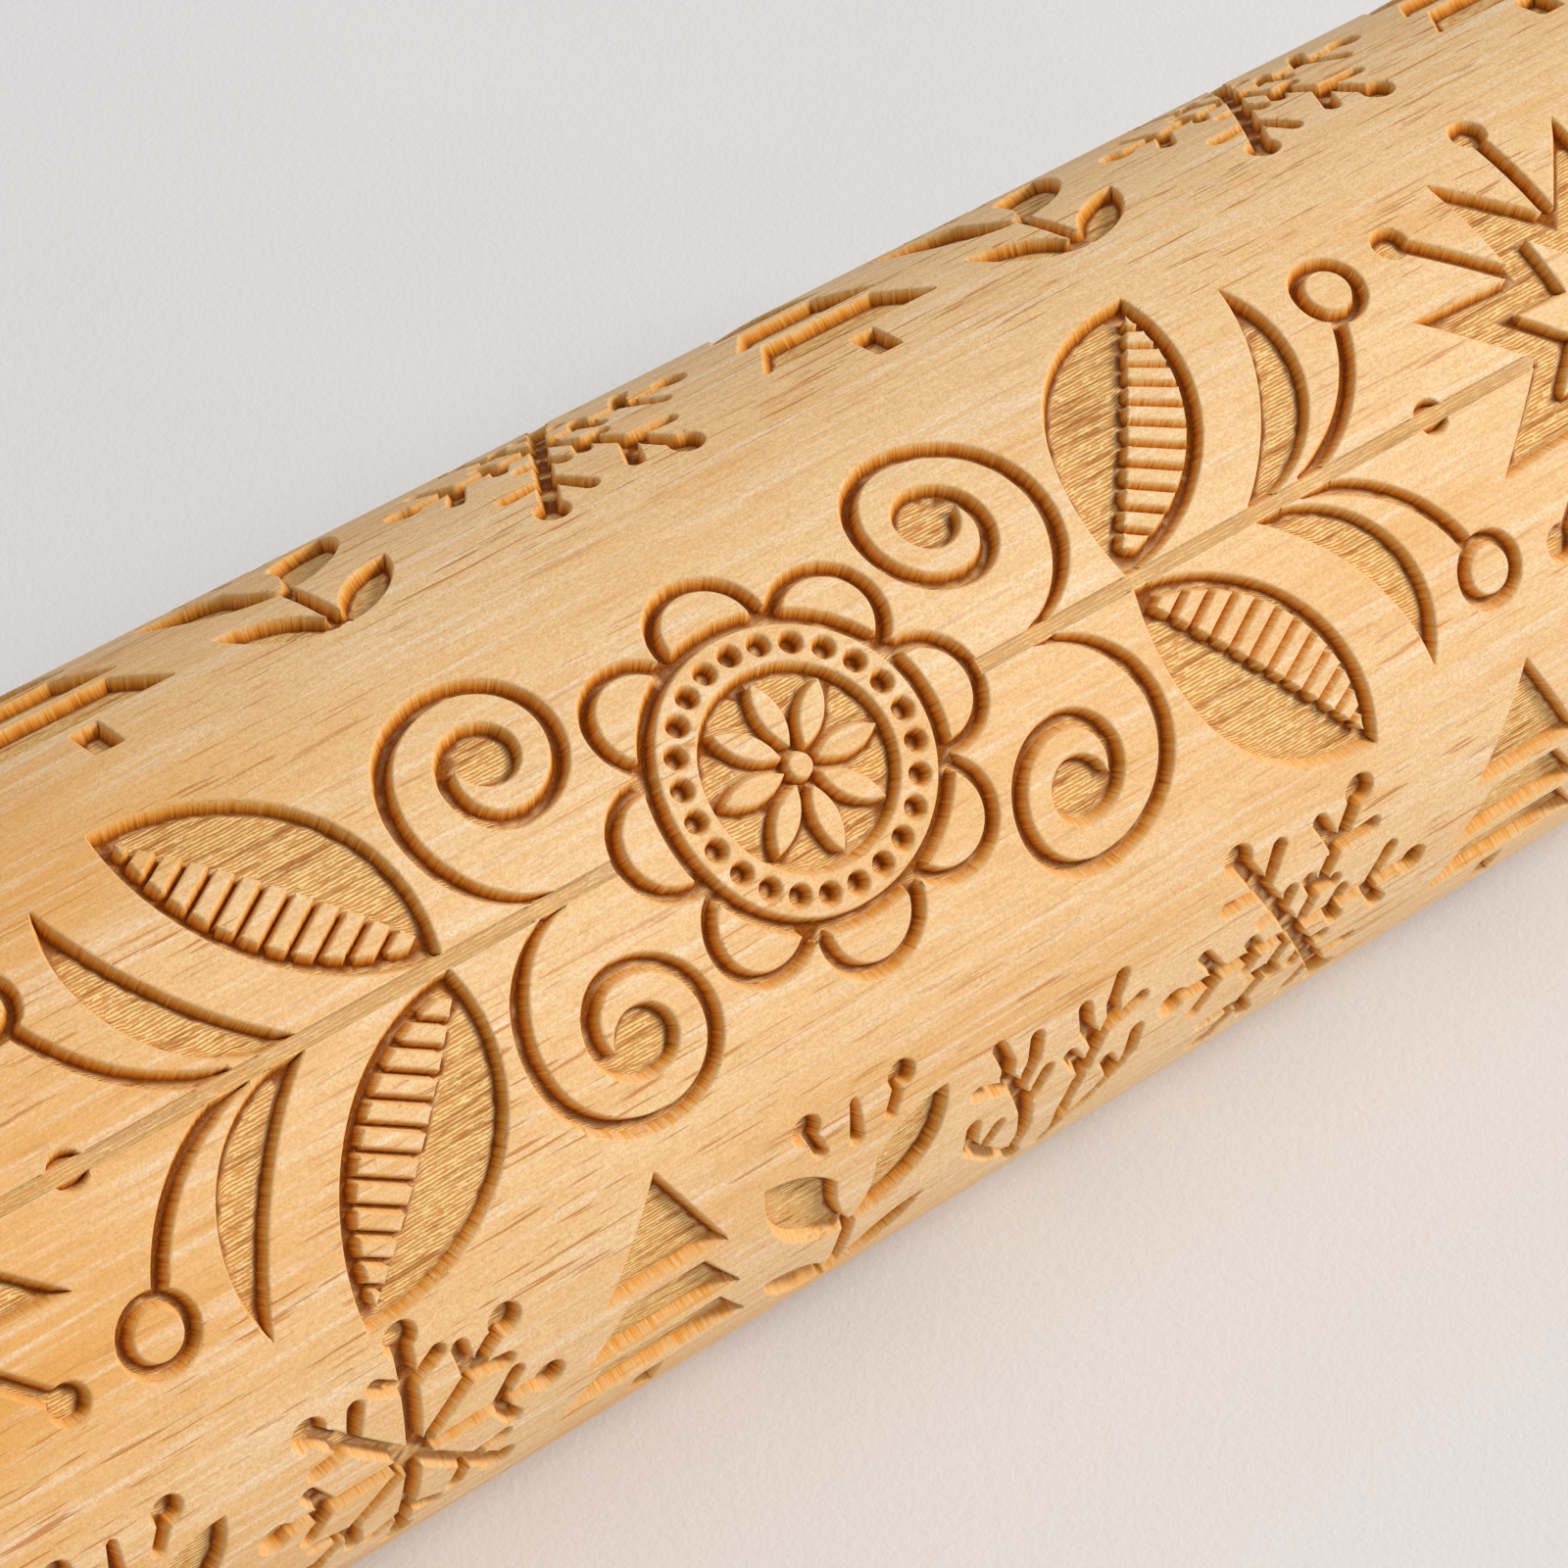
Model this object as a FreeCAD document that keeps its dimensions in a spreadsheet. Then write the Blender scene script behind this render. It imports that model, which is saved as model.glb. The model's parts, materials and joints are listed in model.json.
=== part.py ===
"""Wooden pattern rolling pin with a free-running barrel, as a parametric FreeCAD document.

A pale hardwood barrel turns on two small ball bearings. They sit in acetal cups pressed into the barrel's
ends and run on one steel rod, and a turned handle is clamped on each end of the rod by a lock nut under a
wooden plug.

Frame: millimetres, +X along the axle to the right, +Z up, origin at the centre of the barrel on its axis.
Each sub-part is drawn in a frame of its own, with the axle along X and its inner face at X = 0. The
right-hand pieces are placed along +X, and the left-hand ones are the same pieces turned half a turn about Z.
"""

import FreeCAD, Part  # noqa: E401  FreeCAD has to be the first of the two
import math
import os
import Sketcher

# The driving dimensions in millimetres, unless the note says otherwise: alias, value, note.
DIMENSIONS = [
    ("barrel_length", 250, "working length of the barrel"),
    ("barrel_radius", 30, "barrel outside the pattern"),
    ("barrel_edge", 2, "rounding of the barrel's end edges"),
    ("barrel_bore_radius", 7, "clearance bore for the rod"),
    ("cup_radius", 15, "bearing cup and its counterbore"),
    ("cup_depth", 10.5, "bearing cup below the end grain"),
    ("cup_shoulder", 1.5, "cup floor under the bearing"),
    ("cup_hole_radius", 9.6, "hole in the cup floor"),
    ("cup_mouth_radius", 13, "wider mouth of the cup for the dust cap"),
    ("flange_radius", 19, "cup flange on the end grain"),
    ("flange_thickness", 1.5, "cup flange on the end grain"),
    ("flange_rim", 0.5, "chamfer of the flange and of the dust cap"),
    ("cap_skirt_radius", 9.8, "inside of the dust cap's skirt"),
    ("cap_face_thickness", 1.2, "outer wall of the dust cap"),
    ("cap_hole_radius", 6.5, "hole in the dust cap round the spacer"),
    ("bearing_radius", 11, "outside of the ball bearing"),
    ("bearing_width", 7, "ball bearing along the rod"),
    ("outer_shoulder_radius", 9, "land inside the outer race"),
    ("inner_shoulder_radius", 6.05, "land outside the inner race"),
    ("pitch_radius", 7.5, "circle of the ball centres"),
    ("ball_radius", 1.9845, "bearing ball"),
    ("race_clearance", 0.035, "raceway groove outside the ball"),
    ("balls_per_bearing", 7, "number of balls"),
    ("shield_seat_radius", 9.8, "recess for the shield in the outer race"),
    ("shield_seat_depth", 0.9, "recess for the shield in the outer race"),
    ("shield_thickness", 0.4, "steel shield"),
    ("shield_hole_radius", 6.35, "hole in the shield"),
    ("cage_inner_radius", 6.8, "ball cage"),
    ("cage_outer_radius", 8.2, "ball cage"),
    ("cage_back", 2.4, "cage behind the ball centres"),
    ("cage_front", 1.2, "cage in front of the ball centres, where the balls snap in"),
    ("pocket_clearance", 0.12, "cage pocket outside the ball"),
    ("rod_radius", 3.99, "axle rod"),
    ("bore_radius", 4, "bores that the rod fits"),
    ("rod_end_gap", 9, "rod's end below the end of the handle"),
    ("rod_chamfer", 0.8, "chamfer of the rod's ends"),
    ("clip_groove_radius", 3.8, "circlip groove in the rod"),
    ("clip_radius", 5.4, "outside of the circlip"),
    ("clip_thickness", 0.8, "circlip"),
    ("clip_gap", 3, "opening of the circlip"),
    ("clip_ear_radius", 1.5, "ears of the circlip"),
    ("clip_ear_height", 6, "centres of the ears above the axle"),
    ("clip_ear_spread", 5.1, "centres of the two ears apart"),
    ("clip_eye_radius", 0.6, "holes for the pliers in the ears"),
    ("spacer_radius", 6, "spacer sleeve outside"),
    ("spacer_length", 5.5, "spacer sleeve"),
    ("thrust_radius", 10, "thrust washer against the handle"),
    ("thrust_thickness", 1.5, "thrust washer against the handle"),
    ("handle_length", 84, "handle from its inner to its outer face"),
    ("handle_bore_radius", 4.1, "handle bore round the rod"),
    ("pocket_radius", 8.2, "nut pocket in the handle's outer end"),
    ("pocket_depth", 18, "nut pocket in the handle's outer end"),
    ("collar_radius", 11.6, "handle's face next to the thrust washer"),
    ("bead_width", 6, "turned bead beside the barrel"),
    ("bead_bulge", 3.6, "radius of the bead's outline"),
    ("neck_radius", 10.2, "thinnest place of the handle"),
    ("neck_width", 5, "hollow between the bead and the grip"),
    ("neck_hollow", 5, "radius of the hollow's outline"),
    ("grip_radius", 14.5, "straight stretch of the grip"),
    ("grip_start", 36, "straight stretch of the grip, from the handle's inner face"),
    ("grip_end", 60, "straight stretch of the grip, from the handle's inner face"),
    ("tail_radius", 12.8, "grip where the end rounding starts"),
    ("tail_length", 4, "end rounding along the handle"),
    ("tail_rounding", 4.4, "radius of the end rounding"),
    ("end_face_radius", 9.4, "flat ring round the end plug"),
    ("nut_washer_radius", 8, "washer under the lock nut"),
    ("nut_washer_thickness", 1.6, "washer under the lock nut"),
    ("nut_corner_radius", 7.5, "lock nut across its corners, halved"),
    ("nut_hex_height", 6.5, "hexagon of the lock nut"),
    ("nut_collar_radius", 5.6, "round collar of the lock nut"),
    ("nut_collar_height", 1.5, "round collar of the lock nut"),
    ("nut_bevel_height", 0.6, "bevel of the hexagon's corners and of the collar, along the axle"),
    ("nut_bevel_width", 1, "bevel of the hexagon's corners, across the axle"),
    ("plug_radius", 8.15, "wooden plug in the nut pocket"),
    ("plug_depth", 6, "wooden plug below the end face"),
    ("plug_dome", 1, "crown of the wooden plug"),
]

# Places along the axle, from the barrel's centre, as expressions on the sheet.
BARREL_END = "Dims.barrel_length / 2"
BEARING_IN = f"{BARREL_END} - Dims.cup_depth + Dims.cup_shoulder"
BEARING_OUT = f"{BEARING_IN} + Dims.bearing_width"
FLANGE_OUT = f"{BARREL_END} + Dims.flange_thickness"
SPACER_OUT = f"{BEARING_OUT} + Dims.spacer_length"
HANDLE_IN = f"{SPACER_OUT} + Dims.thrust_thickness"
HANDLE_OUT = f"{HANDLE_IN} + Dims.handle_length"
POCKET_FLOOR = f"{HANDLE_OUT} - Dims.pocket_depth"

SIDES = {"left": -1, "right": 1}

doc = FreeCAD.newDocument("RollingPin")
sheet = doc.addObject("Spreadsheet::Sheet", "Dims")
for row, (alias, number, note) in enumerate(DIMENSIONS, start=1):
    sheet.set(f"A{row}", note)
    sheet.set(f"B{row}", str(number))
    sheet.setAlias(f"B{row}", alias)
doc.recompute()

nodes = []


def value(text):
    """The number that an expression on the sheet gives now."""
    return float(sheet.evalExpression(text))


def keep(thing, label, side=1, along="0"):
    """Labels a finished sub-part and places it along the axle, turned half a turn about Z on the left."""
    thing.Label = label
    turn = 0 if side > 0 else 180
    thing.Placement = FreeCAD.Placement(FreeCAD.Vector(), FreeCAD.Rotation(FreeCAD.Vector(0, 0, 1), turn))
    thing.setExpression("Placement.Base.x", f"{side} * ({along})")
    nodes.append(thing)
    return thing


# ---------------------------------------------------------------- sketches

def new_sketch(body, name, role):
    """An empty sketch on one of the body's own origin planes."""
    plane = next(f for f in body.Origin.OriginFeatures if f.Role == role)
    sketch = body.newObject("Sketcher::SketchObject", name)
    sketch.AttachmentSupport = [(plane, "")]
    sketch.MapMode = "FlatFace"
    return sketch


def bind(sketch, kind, args, text):
    """A dimension of the sketch that follows an expression on the sheet."""
    index = sketch.addConstraint(Sketcher.Constraint(kind, *args, value(text)))
    sketch.renameConstraint(index, f"d{index}")
    sketch.setExpression(f"Constraints.d{index}", text)


def pin_point(sketch, edge, end, x_text, y_text):
    """Holds one end of an edge at the place that two expressions give."""
    for kind, axis, text in (("DistanceX", -2, x_text), ("DistanceY", -1, y_text)):
        if abs(value(text)) < 1e-9:
            sketch.addConstraint(Sketcher.Constraint("PointOnObject", edge, end, axis))
        else:
            bind(sketch, kind, (-1, 1, edge, end), text)


def arc_between(a, b, radius, bulge):
    """The counter-clockwise arc between two points, and whether it starts at a. A bulge of 1 lies to the left
    of the way from a to b."""
    chord = b - a
    left = FreeCAD.Vector(-chord.y, chord.x, 0).normalize()
    rise = math.sqrt(max(radius**2 - (chord.Length / 2) ** 2, 0))
    centre = (a + b) / 2 - left * rise * bulge
    first, last = (b, a) if bulge > 0 else (a, b)
    angles = [math.atan2(p.y - centre.y, p.x - centre.x) for p in (first, last)]
    if angles[1] < angles[0]:
        angles[1] += 2 * math.pi
    circle = Part.Circle(centre, FreeCAD.Vector(0, 0, 1), radius)
    return Part.ArcOfCircle(circle, *angles), bulge < 0


def draw_outline(sketch, corners, arcs=None):
    """Draws a closed outline. corners are (x, y) pairs of expressions, and arcs maps the number of the corner
    that an arc leaves to (radius, bulge)."""
    arcs = arcs or {}
    points = [FreeCAD.Vector(value(x), value(y), 0) for x, y in corners]
    ends = []
    for i, a in enumerate(points):
        b = points[(i + 1) % len(points)]
        if i in arcs:
            radius, bulge = arcs[i]
            shape, forward = arc_between(a, b, value(radius), bulge)
        else:
            shape, forward = Part.LineSegment(a, b), True
        edge = sketch.addGeometry(shape, False)
        ends.append((edge, 1, 2) if forward else (edge, 2, 1))
    for i, (edge, start, end) in enumerate(ends):
        following, following_start, _ = ends[(i + 1) % len(ends)]
        sketch.addConstraint(Sketcher.Constraint("Coincident", edge, end, following, following_start))
        pin_point(sketch, edge, start, *corners[i])
        if i in arcs:
            bind(sketch, "Radius", (edge,), arcs[i][0])


def draw_circle(sketch, x_text, y_text, radius_text):
    """Draws a circle whose centre and radius follow expressions."""
    centre = FreeCAD.Vector(value(x_text), value(y_text), 0)
    circle = Part.Circle(centre, FreeCAD.Vector(0, 0, 1), value(radius_text))
    edge = sketch.addGeometry(circle, False)
    pin_point(sketch, edge, 3, x_text, y_text)
    bind(sketch, "Radius", (edge,), radius_text)


# ---------------------------------------------------------------- features

def new_body(name):
    return doc.addObject("PartDesign::Body", name)


def revolve(body, name, corners, arcs=None, kind="PartDesign::Revolution"):
    """A closed outline in X and radius, turned round the axle. kind PartDesign::Groove cuts it away."""
    sketch = new_sketch(body, name + "Outline", "XY_Plane")
    draw_outline(sketch, corners, arcs)
    return turn_round_axle(body, name, sketch, kind)


def turn_round_axle(body, name, sketch, kind):
    feature = body.newObject(kind, name)
    feature.Profile = sketch
    feature.ReferenceAxis = (sketch, ["H_Axis"])
    feature.Angle = 360
    sketch.Visibility = False
    return feature


def tube(name, length, inner, outer):
    """A plain ring or sleeve: a rectangle turned round the axle."""
    body = new_body(name)
    revolve(body, "Ring", [("0", inner), ("0", outer), (length, outer), (length, inner)])
    return body


def pocket(body, name, sketch, length):
    """Cuts a sketch away along the axle to a depth from X = 0, and stops if nothing was cut."""
    doc.recompute()
    before = body.Shape.Volume
    feature = body.newObject("PartDesign::Pocket", name)
    feature.Profile = sketch
    feature.setExpression("Length", length)
    feature.Reversed = True
    doc.recompute()
    if body.Shape.Volume > before - 1e-6:
        raise RuntimeError(f"{body.Name}: {name} cut nothing")
    return feature


# ---------------------------------------------------------------- barrel

def make_barrel():
    """The plain turned barrel: bored for the rod, counterbored for the cups, its end edges rounded. The
    relief is cut about 1 mm deep into this cylinder, and its uncut land is the cylinder itself."""
    body = new_body("Barrel")
    sketch = new_sketch(body, "Section", "YZ_Plane")
    draw_circle(sketch, "0", "0", "Dims.barrel_radius")
    draw_circle(sketch, "0", "0", "Dims.barrel_bore_radius")
    pad = body.newObject("PartDesign::Pad", "Cylinder")
    pad.Profile = sketch
    pad.setExpression("Length", "Dims.barrel_length")
    pad.Midplane = True
    for name, side in SIDES.items():
        inner = f"{side} * (Dims.barrel_length / 2 - Dims.cup_depth)"
        outer = f"{side} * Dims.barrel_length / 2"
        corners = [(inner, "0"), (inner, "Dims.cup_radius"), (outer, "Dims.cup_radius"), (outer, "0")]
        revolve(body, name.title() + "Seat", corners, kind="PartDesign::Groove")
    doc.recompute()
    rims = []
    for number, edge in enumerate(body.Shape.Edges, start=1):
        circle = isinstance(edge.Curve, Part.Circle)
        if circle and abs(edge.Curve.Radius - value("Dims.barrel_radius")) < 1e-6:
            rims.append(f"Edge{number}")
    turned = body.Tip
    fillet = body.newObject("PartDesign::Fillet", "EndRounding")
    fillet.Base = (turned, rims)
    fillet.setExpression("Radius", "Dims.barrel_edge")
    return keep(body, "barrel")


# ---------------------------------------------------------------- axle

def make_axle_rod():
    """One straight steel rod with chamfered ends and a circlip groove inboard of each bearing."""
    end = f"{HANDLE_OUT} - Dims.rod_end_gap"
    body = new_body("AxleRod")
    corners = [
        (f"-({end})", "0"),
        (f"-({end})", "Dims.rod_radius - Dims.rod_chamfer"),
        (f"-({end}) + Dims.rod_chamfer", "Dims.rod_radius"),
        (f"{end} - Dims.rod_chamfer", "Dims.rod_radius"),
        (end, "Dims.rod_radius - Dims.rod_chamfer"),
        (end, "0"),
    ]
    revolve(body, "Rod", corners)
    for name, side in SIDES.items():
        inner = f"{side} * ({BEARING_IN} - Dims.clip_thickness)"
        outer = f"{side} * ({BEARING_IN})"
        floor, outside = "Dims.clip_groove_radius", "2 * Dims.rod_radius"
        corners = [(inner, floor), (inner, outside), (outer, outside), (outer, floor)]
        revolve(body, name.title() + "ClipGroove", corners, kind="PartDesign::Groove")
    return keep(body, "axle_rod")


def make_circlip(name, side):
    """An external circlip: a ring with a gap and two ears for the pliers."""
    body = new_body("Circlip")
    corners = [
        ("0", "Dims.clip_groove_radius"),
        ("0", "Dims.clip_radius"),
        ("Dims.clip_thickness", "Dims.clip_radius"),
        ("Dims.clip_thickness", "Dims.clip_groove_radius"),
    ]
    revolve(body, "Ring", corners)
    ears = new_sketch(body, "EarCircles", "YZ_Plane")
    ear_places = ("-Dims.clip_ear_spread / 2", "Dims.clip_ear_spread / 2")
    for across in ear_places:
        draw_circle(ears, across, "Dims.clip_ear_height", "Dims.clip_ear_radius")
    pad = body.newObject("PartDesign::Pad", "Ears")
    pad.Profile = ears
    pad.setExpression("Length", "Dims.clip_thickness")
    gap = new_sketch(body, "GapBox", "YZ_Plane")
    high = "Dims.clip_radius * 2"
    draw_outline(
        gap,
        [
            ("-Dims.clip_gap / 2", "0"),
            ("-Dims.clip_gap / 2", high),
            ("Dims.clip_gap / 2", high),
            ("Dims.clip_gap / 2", "0"),
        ],
    )
    pocket(body, "Gap", gap, "Dims.clip_thickness")
    eyes = new_sketch(body, "EyeCircles", "YZ_Plane")
    for across in ear_places:
        draw_circle(eyes, across, "Dims.clip_ear_height", "Dims.clip_eye_radius")
    pocket(body, "Eyes", eyes, "Dims.clip_thickness")
    return keep(body, f"{name}_circlip", side, f"{BEARING_IN} - Dims.clip_thickness")


# ---------------------------------------------------------------- bearing seat in the barrel's end

def make_bearing_cup(name, side):
    """An acetal cup pressed into the barrel, with a flange on the end grain and a mouth for the dust cap."""
    deep = "Dims.cup_depth"
    bearing_top = "Dims.cup_shoulder + Dims.bearing_width"
    flange_top = f"{deep} + Dims.flange_thickness"
    corners = [
        ("0", "Dims.cup_hole_radius"),
        ("0", "Dims.cup_radius"),
        (deep, "Dims.cup_radius"),
        (deep, "Dims.flange_radius"),
        (f"{flange_top} - Dims.flange_rim", "Dims.flange_radius"),
        (flange_top, "Dims.flange_radius - Dims.flange_rim"),
        (flange_top, "Dims.cup_mouth_radius"),
        (bearing_top, "Dims.cup_mouth_radius"),
        (bearing_top, "Dims.bearing_radius"),
        ("Dims.cup_shoulder", "Dims.bearing_radius"),
        ("Dims.cup_shoulder", "Dims.cup_hole_radius"),
    ]
    body = new_body("BearingCup")
    revolve(body, "Cup", corners)
    return keep(body, f"{name}_bearing_cup", side, f"{BARREL_END} - {deep}")


def make_dust_cap(name, side):
    """An acetal cap in the cup's mouth: its skirt holds the bearing down, and its wall keeps flour out."""
    height = f"({FLANGE_OUT}) - ({BEARING_OUT})"
    corners = [
        ("0", "Dims.cap_skirt_radius"),
        ("0", "Dims.cup_mouth_radius"),
        (f"{height} - Dims.flange_rim", "Dims.cup_mouth_radius"),
        (height, "Dims.cup_mouth_radius - Dims.flange_rim"),
        (height, "Dims.cap_hole_radius"),
        (f"{height} - Dims.cap_face_thickness", "Dims.cap_hole_radius"),
        (f"{height} - Dims.cap_face_thickness", "Dims.cap_skirt_radius"),
    ]
    body = new_body("DustCap")
    revolve(body, "Cap", corners)
    return keep(body, f"{name}_dust_cap", side, BEARING_OUT)


# ---------------------------------------------------------------- ball bearing

MIDDLE = "Dims.bearing_width / 2"
GROOVE_RADIUS = "Dims.ball_radius + Dims.race_clearance"


def cut_raceway(body):
    """The ball groove of a race: a circle round the ball centres, turned round the axle."""
    sketch = new_sketch(body, "RacewayCircle", "XY_Plane")
    draw_circle(sketch, MIDDLE, "Dims.pitch_radius", GROOVE_RADIUS)
    turn_round_axle(body, "Raceway", sketch, "PartDesign::Groove")


def make_outer_race(name, side):
    """Outer race with its ball groove and a shield recess on each face."""
    width, land, seat = "Dims.bearing_width", "Dims.outer_shoulder_radius", "Dims.shield_seat_radius"
    corners = [
        ("0", seat),
        ("0", "Dims.bearing_radius"),
        (width, "Dims.bearing_radius"),
        (width, seat),
        (f"{width} - Dims.shield_seat_depth", seat),
        (f"{width} - Dims.shield_seat_depth", land),
        ("Dims.shield_seat_depth", land),
        ("Dims.shield_seat_depth", seat),
    ]
    body = new_body("OuterRace")
    revolve(body, "Ring", corners)
    cut_raceway(body)
    return keep(body, f"{name}_bearing_outer_race", side, BEARING_IN)


def make_inner_race(name, side):
    """Inner race with its ball groove, clamped on the rod."""
    body = tube("InnerRace", "Dims.bearing_width", "Dims.bore_radius", "Dims.inner_shoulder_radius")
    cut_raceway(body)
    return keep(body, f"{name}_bearing_inner_race", side, BEARING_IN)


def ball_circle(radius, name):
    """A sphere of the given radius at the place of each ball of a bearing. The first is half a step from the
    horizontal plane, clear of a turned ring's seam. Each sphere's poles point to the axle and away from it,
    clear of the cage's wall."""
    count = int(value("Dims.balls_per_bearing"))
    spheres = []
    for number in range(count):
        sphere = doc.addObject("Part::Sphere", name)
        turn = (number + 0.5) * 360 / count
        sphere.Placement.Rotation = FreeCAD.Rotation(FreeCAD.Vector(1, 0, 0), turn - 90)
        sphere.setExpression("Radius", radius)
        sphere.setExpression("Placement.Base.x", MIDDLE)
        sphere.setExpression("Placement.Base.y", f"Dims.pitch_radius * cos({turn} deg)")
        sphere.setExpression("Placement.Base.z", f"Dims.pitch_radius * sin({turn} deg)")
        spheres.append(sphere)
    group = doc.addObject("Part::Compound", name + "Circle")
    group.Links = spheres
    return group


def make_balls(name, side):
    """The balls of one bearing, as separate solids of one node."""
    return keep(ball_circle("Dims.ball_radius", "Ball"), f"{name}_bearing_balls", side, BEARING_IN)


def make_cage(name, side):
    """A moulded crown cage: a ring with a pocket for each ball, open on one side for the balls to snap in."""
    ring = new_body("CageRing")
    back = f"{MIDDLE} - Dims.cage_back"
    front = f"{MIDDLE} + Dims.cage_front"
    inner, outer = "Dims.cage_inner_radius", "Dims.cage_outer_radius"
    revolve(ring, "Ring", [(back, inner), (back, outer), (front, outer), (front, inner)])
    cage = doc.addObject("Part::Cut", "Cage")
    cage.Base = ring
    cage.Tool = ball_circle("Dims.ball_radius + Dims.pocket_clearance", "BallPocket")
    return keep(cage, f"{name}_bearing_cage", side, BEARING_IN)


def make_shields(name, side):
    """The two pressed steel shields of one bearing, one in each face of the outer race."""
    seat = "Dims.shield_seat_depth - Dims.shield_thickness"
    rings = []
    for start in (seat, f"Dims.bearing_width - ({seat}) - Dims.shield_thickness"):
        disc = doc.addObject("Part::Cylinder", "ShieldDisc")
        hole = doc.addObject("Part::Cylinder", "ShieldHole")
        for cylinder, radius in ((disc, "Dims.shield_seat_radius"), (hole, "Dims.shield_hole_radius")):
            cylinder.Placement.Rotation = FreeCAD.Rotation(FreeCAD.Vector(0, 1, 0), 90)
            cylinder.setExpression("Radius", radius)
            cylinder.setExpression("Height", "Dims.shield_thickness")
            cylinder.setExpression("Placement.Base.x", start)
        ring = doc.addObject("Part::Cut", "Shield")
        ring.Base, ring.Tool = disc, hole
        rings.append(ring)
    group = doc.addObject("Part::Compound", "Shields")
    group.Links = rings
    return keep(group, f"{name}_bearing_shields", side, BEARING_IN)


# ---------------------------------------------------------------- handle and its fastening

def make_handle(name, side):
    """A turned handle: a bead and a hollow beside the barrel, a full grip with a straight middle, a rounded
    end. It is bored for the rod, and its outer end has a pocket for the washer and nut."""
    bead_end = "Dims.bead_width"
    neck_end = f"{bead_end} + Dims.neck_width"
    tail = "Dims.handle_length - Dims.tail_length"
    swell = swell_radius(f"Dims.grip_start - ({neck_end})", "Dims.grip_radius - Dims.neck_radius")
    taper = swell_radius(f"{tail} - Dims.grip_end", "Dims.grip_radius - Dims.tail_radius")
    corners = [
        ("0", "Dims.handle_bore_radius"),
        ("0", "Dims.collar_radius"),
        (bead_end, "Dims.collar_radius"),
        (neck_end, "Dims.neck_radius"),
        ("Dims.grip_start", "Dims.grip_radius"),
        ("Dims.grip_end", "Dims.grip_radius"),
        (tail, "Dims.tail_radius"),
        ("Dims.handle_length", "Dims.end_face_radius"),
        ("Dims.handle_length", "Dims.pocket_radius"),
        ("Dims.handle_length - Dims.pocket_depth", "Dims.pocket_radius"),
        ("Dims.handle_length - Dims.pocket_depth", "Dims.handle_bore_radius"),
    ]
    arcs = {
        1: ("Dims.bead_bulge", 1),
        2: ("Dims.neck_hollow", -1),
        3: (swell, 1),
        5: (taper, 1),
        6: ("Dims.tail_rounding", 1),
    }
    body = new_body("Handle")
    revolve(body, "Turning", corners, arcs)
    return keep(body, f"{name}_handle", side, HANDLE_IN)


def swell_radius(run, rise):
    """The radius of an arc that rises by rise over run and ends level with the axle."""
    return f"(({run}) ^ 2 + ({rise}) ^ 2) / (2 * ({rise}))"


def make_spacer_sleeve(name, side):
    """The steel sleeve that passes through the dust cap and clamps the inner race."""
    body = tube("SpacerSleeve", "Dims.spacer_length", "Dims.bore_radius", "Dims.spacer_radius")
    return keep(body, f"{name}_spacer_sleeve", side, BEARING_OUT)


def make_thrust_washer(name, side):
    """The washer that spreads the sleeve's load on the handle's end grain."""
    body = tube("ThrustWasher", "Dims.thrust_thickness", "Dims.bore_radius", "Dims.thrust_radius")
    return keep(body, f"{name}_thrust_washer", side, SPACER_OUT)


def make_nut_washer(name, side):
    """The washer in the floor of the nut pocket."""
    body = tube("NutWasher", "Dims.nut_washer_thickness", "Dims.bore_radius", "Dims.nut_washer_radius")
    return keep(body, f"{name}_nut_washer", side, POCKET_FLOOR)


def make_lock_nut(name, side):
    """A hexagon lock nut with bevelled corners and the round collar that holds its nylon ring."""
    height = "Dims.nut_hex_height"
    top = f"{height} + Dims.nut_collar_height"
    corner = "Dims.nut_corner_radius"
    body = new_body("LockNut")
    hexagon = new_sketch(body, "Hexagon", "YZ_Plane")
    half, flat = f"{corner} / 2", f"{corner} * sqrt(3) / 2"
    draw_outline(
        hexagon,
        [
            (corner, "0"),
            (half, flat),
            (f"-{half}", flat),
            (f"-{corner}", "0"),
            (f"-{half}", f"-{flat}"),
            (half, f"-{flat}"),
        ],
    )
    pad = body.newObject("PartDesign::Pad", "Hex")
    pad.Profile = hexagon
    pad.setExpression("Length", height)
    narrow, outside = f"{corner} - Dims.nut_bevel_width", f"2 * {corner}"
    for end, inward in (("0", "Dims.nut_bevel_height"), (height, f"{height} - Dims.nut_bevel_height")):
        corners = [(end, narrow), (end, outside), (inward, outside), (inward, corner)]
        revolve(body, "Bevel", corners, kind="PartDesign::Groove")
    collar = [
        (height, "0"),
        (height, "Dims.nut_collar_radius"),
        (f"{top} - Dims.nut_bevel_height", "Dims.nut_collar_radius"),
        (top, "Dims.nut_collar_radius - Dims.nut_bevel_height"),
        (top, "0"),
    ]
    revolve(body, "Collar", collar)
    bore = new_sketch(body, "BoreCircle", "YZ_Plane")
    draw_circle(bore, "0", "0", "Dims.bore_radius")
    pocket(body, "Bore", bore, top)
    return keep(body, f"{name}_lock_nut", side, f"{POCKET_FLOOR} + Dims.nut_washer_thickness")


def make_end_plug(name, side):
    """A wooden plug with a low crown that closes the nut pocket."""
    radius, depth = "Dims.plug_radius", "Dims.plug_depth"
    corners = [("0", "0"), ("0", radius), (depth, radius), (f"{depth} + Dims.plug_dome", "0")]
    crown = swell_radius(radius, "Dims.plug_dome")
    body = new_body("EndPlug")
    revolve(body, "Plug", corners, {2: (crown, 1)})
    return keep(body, f"{name}_end_plug", side, f"{HANDLE_OUT} - {depth}")


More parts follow.
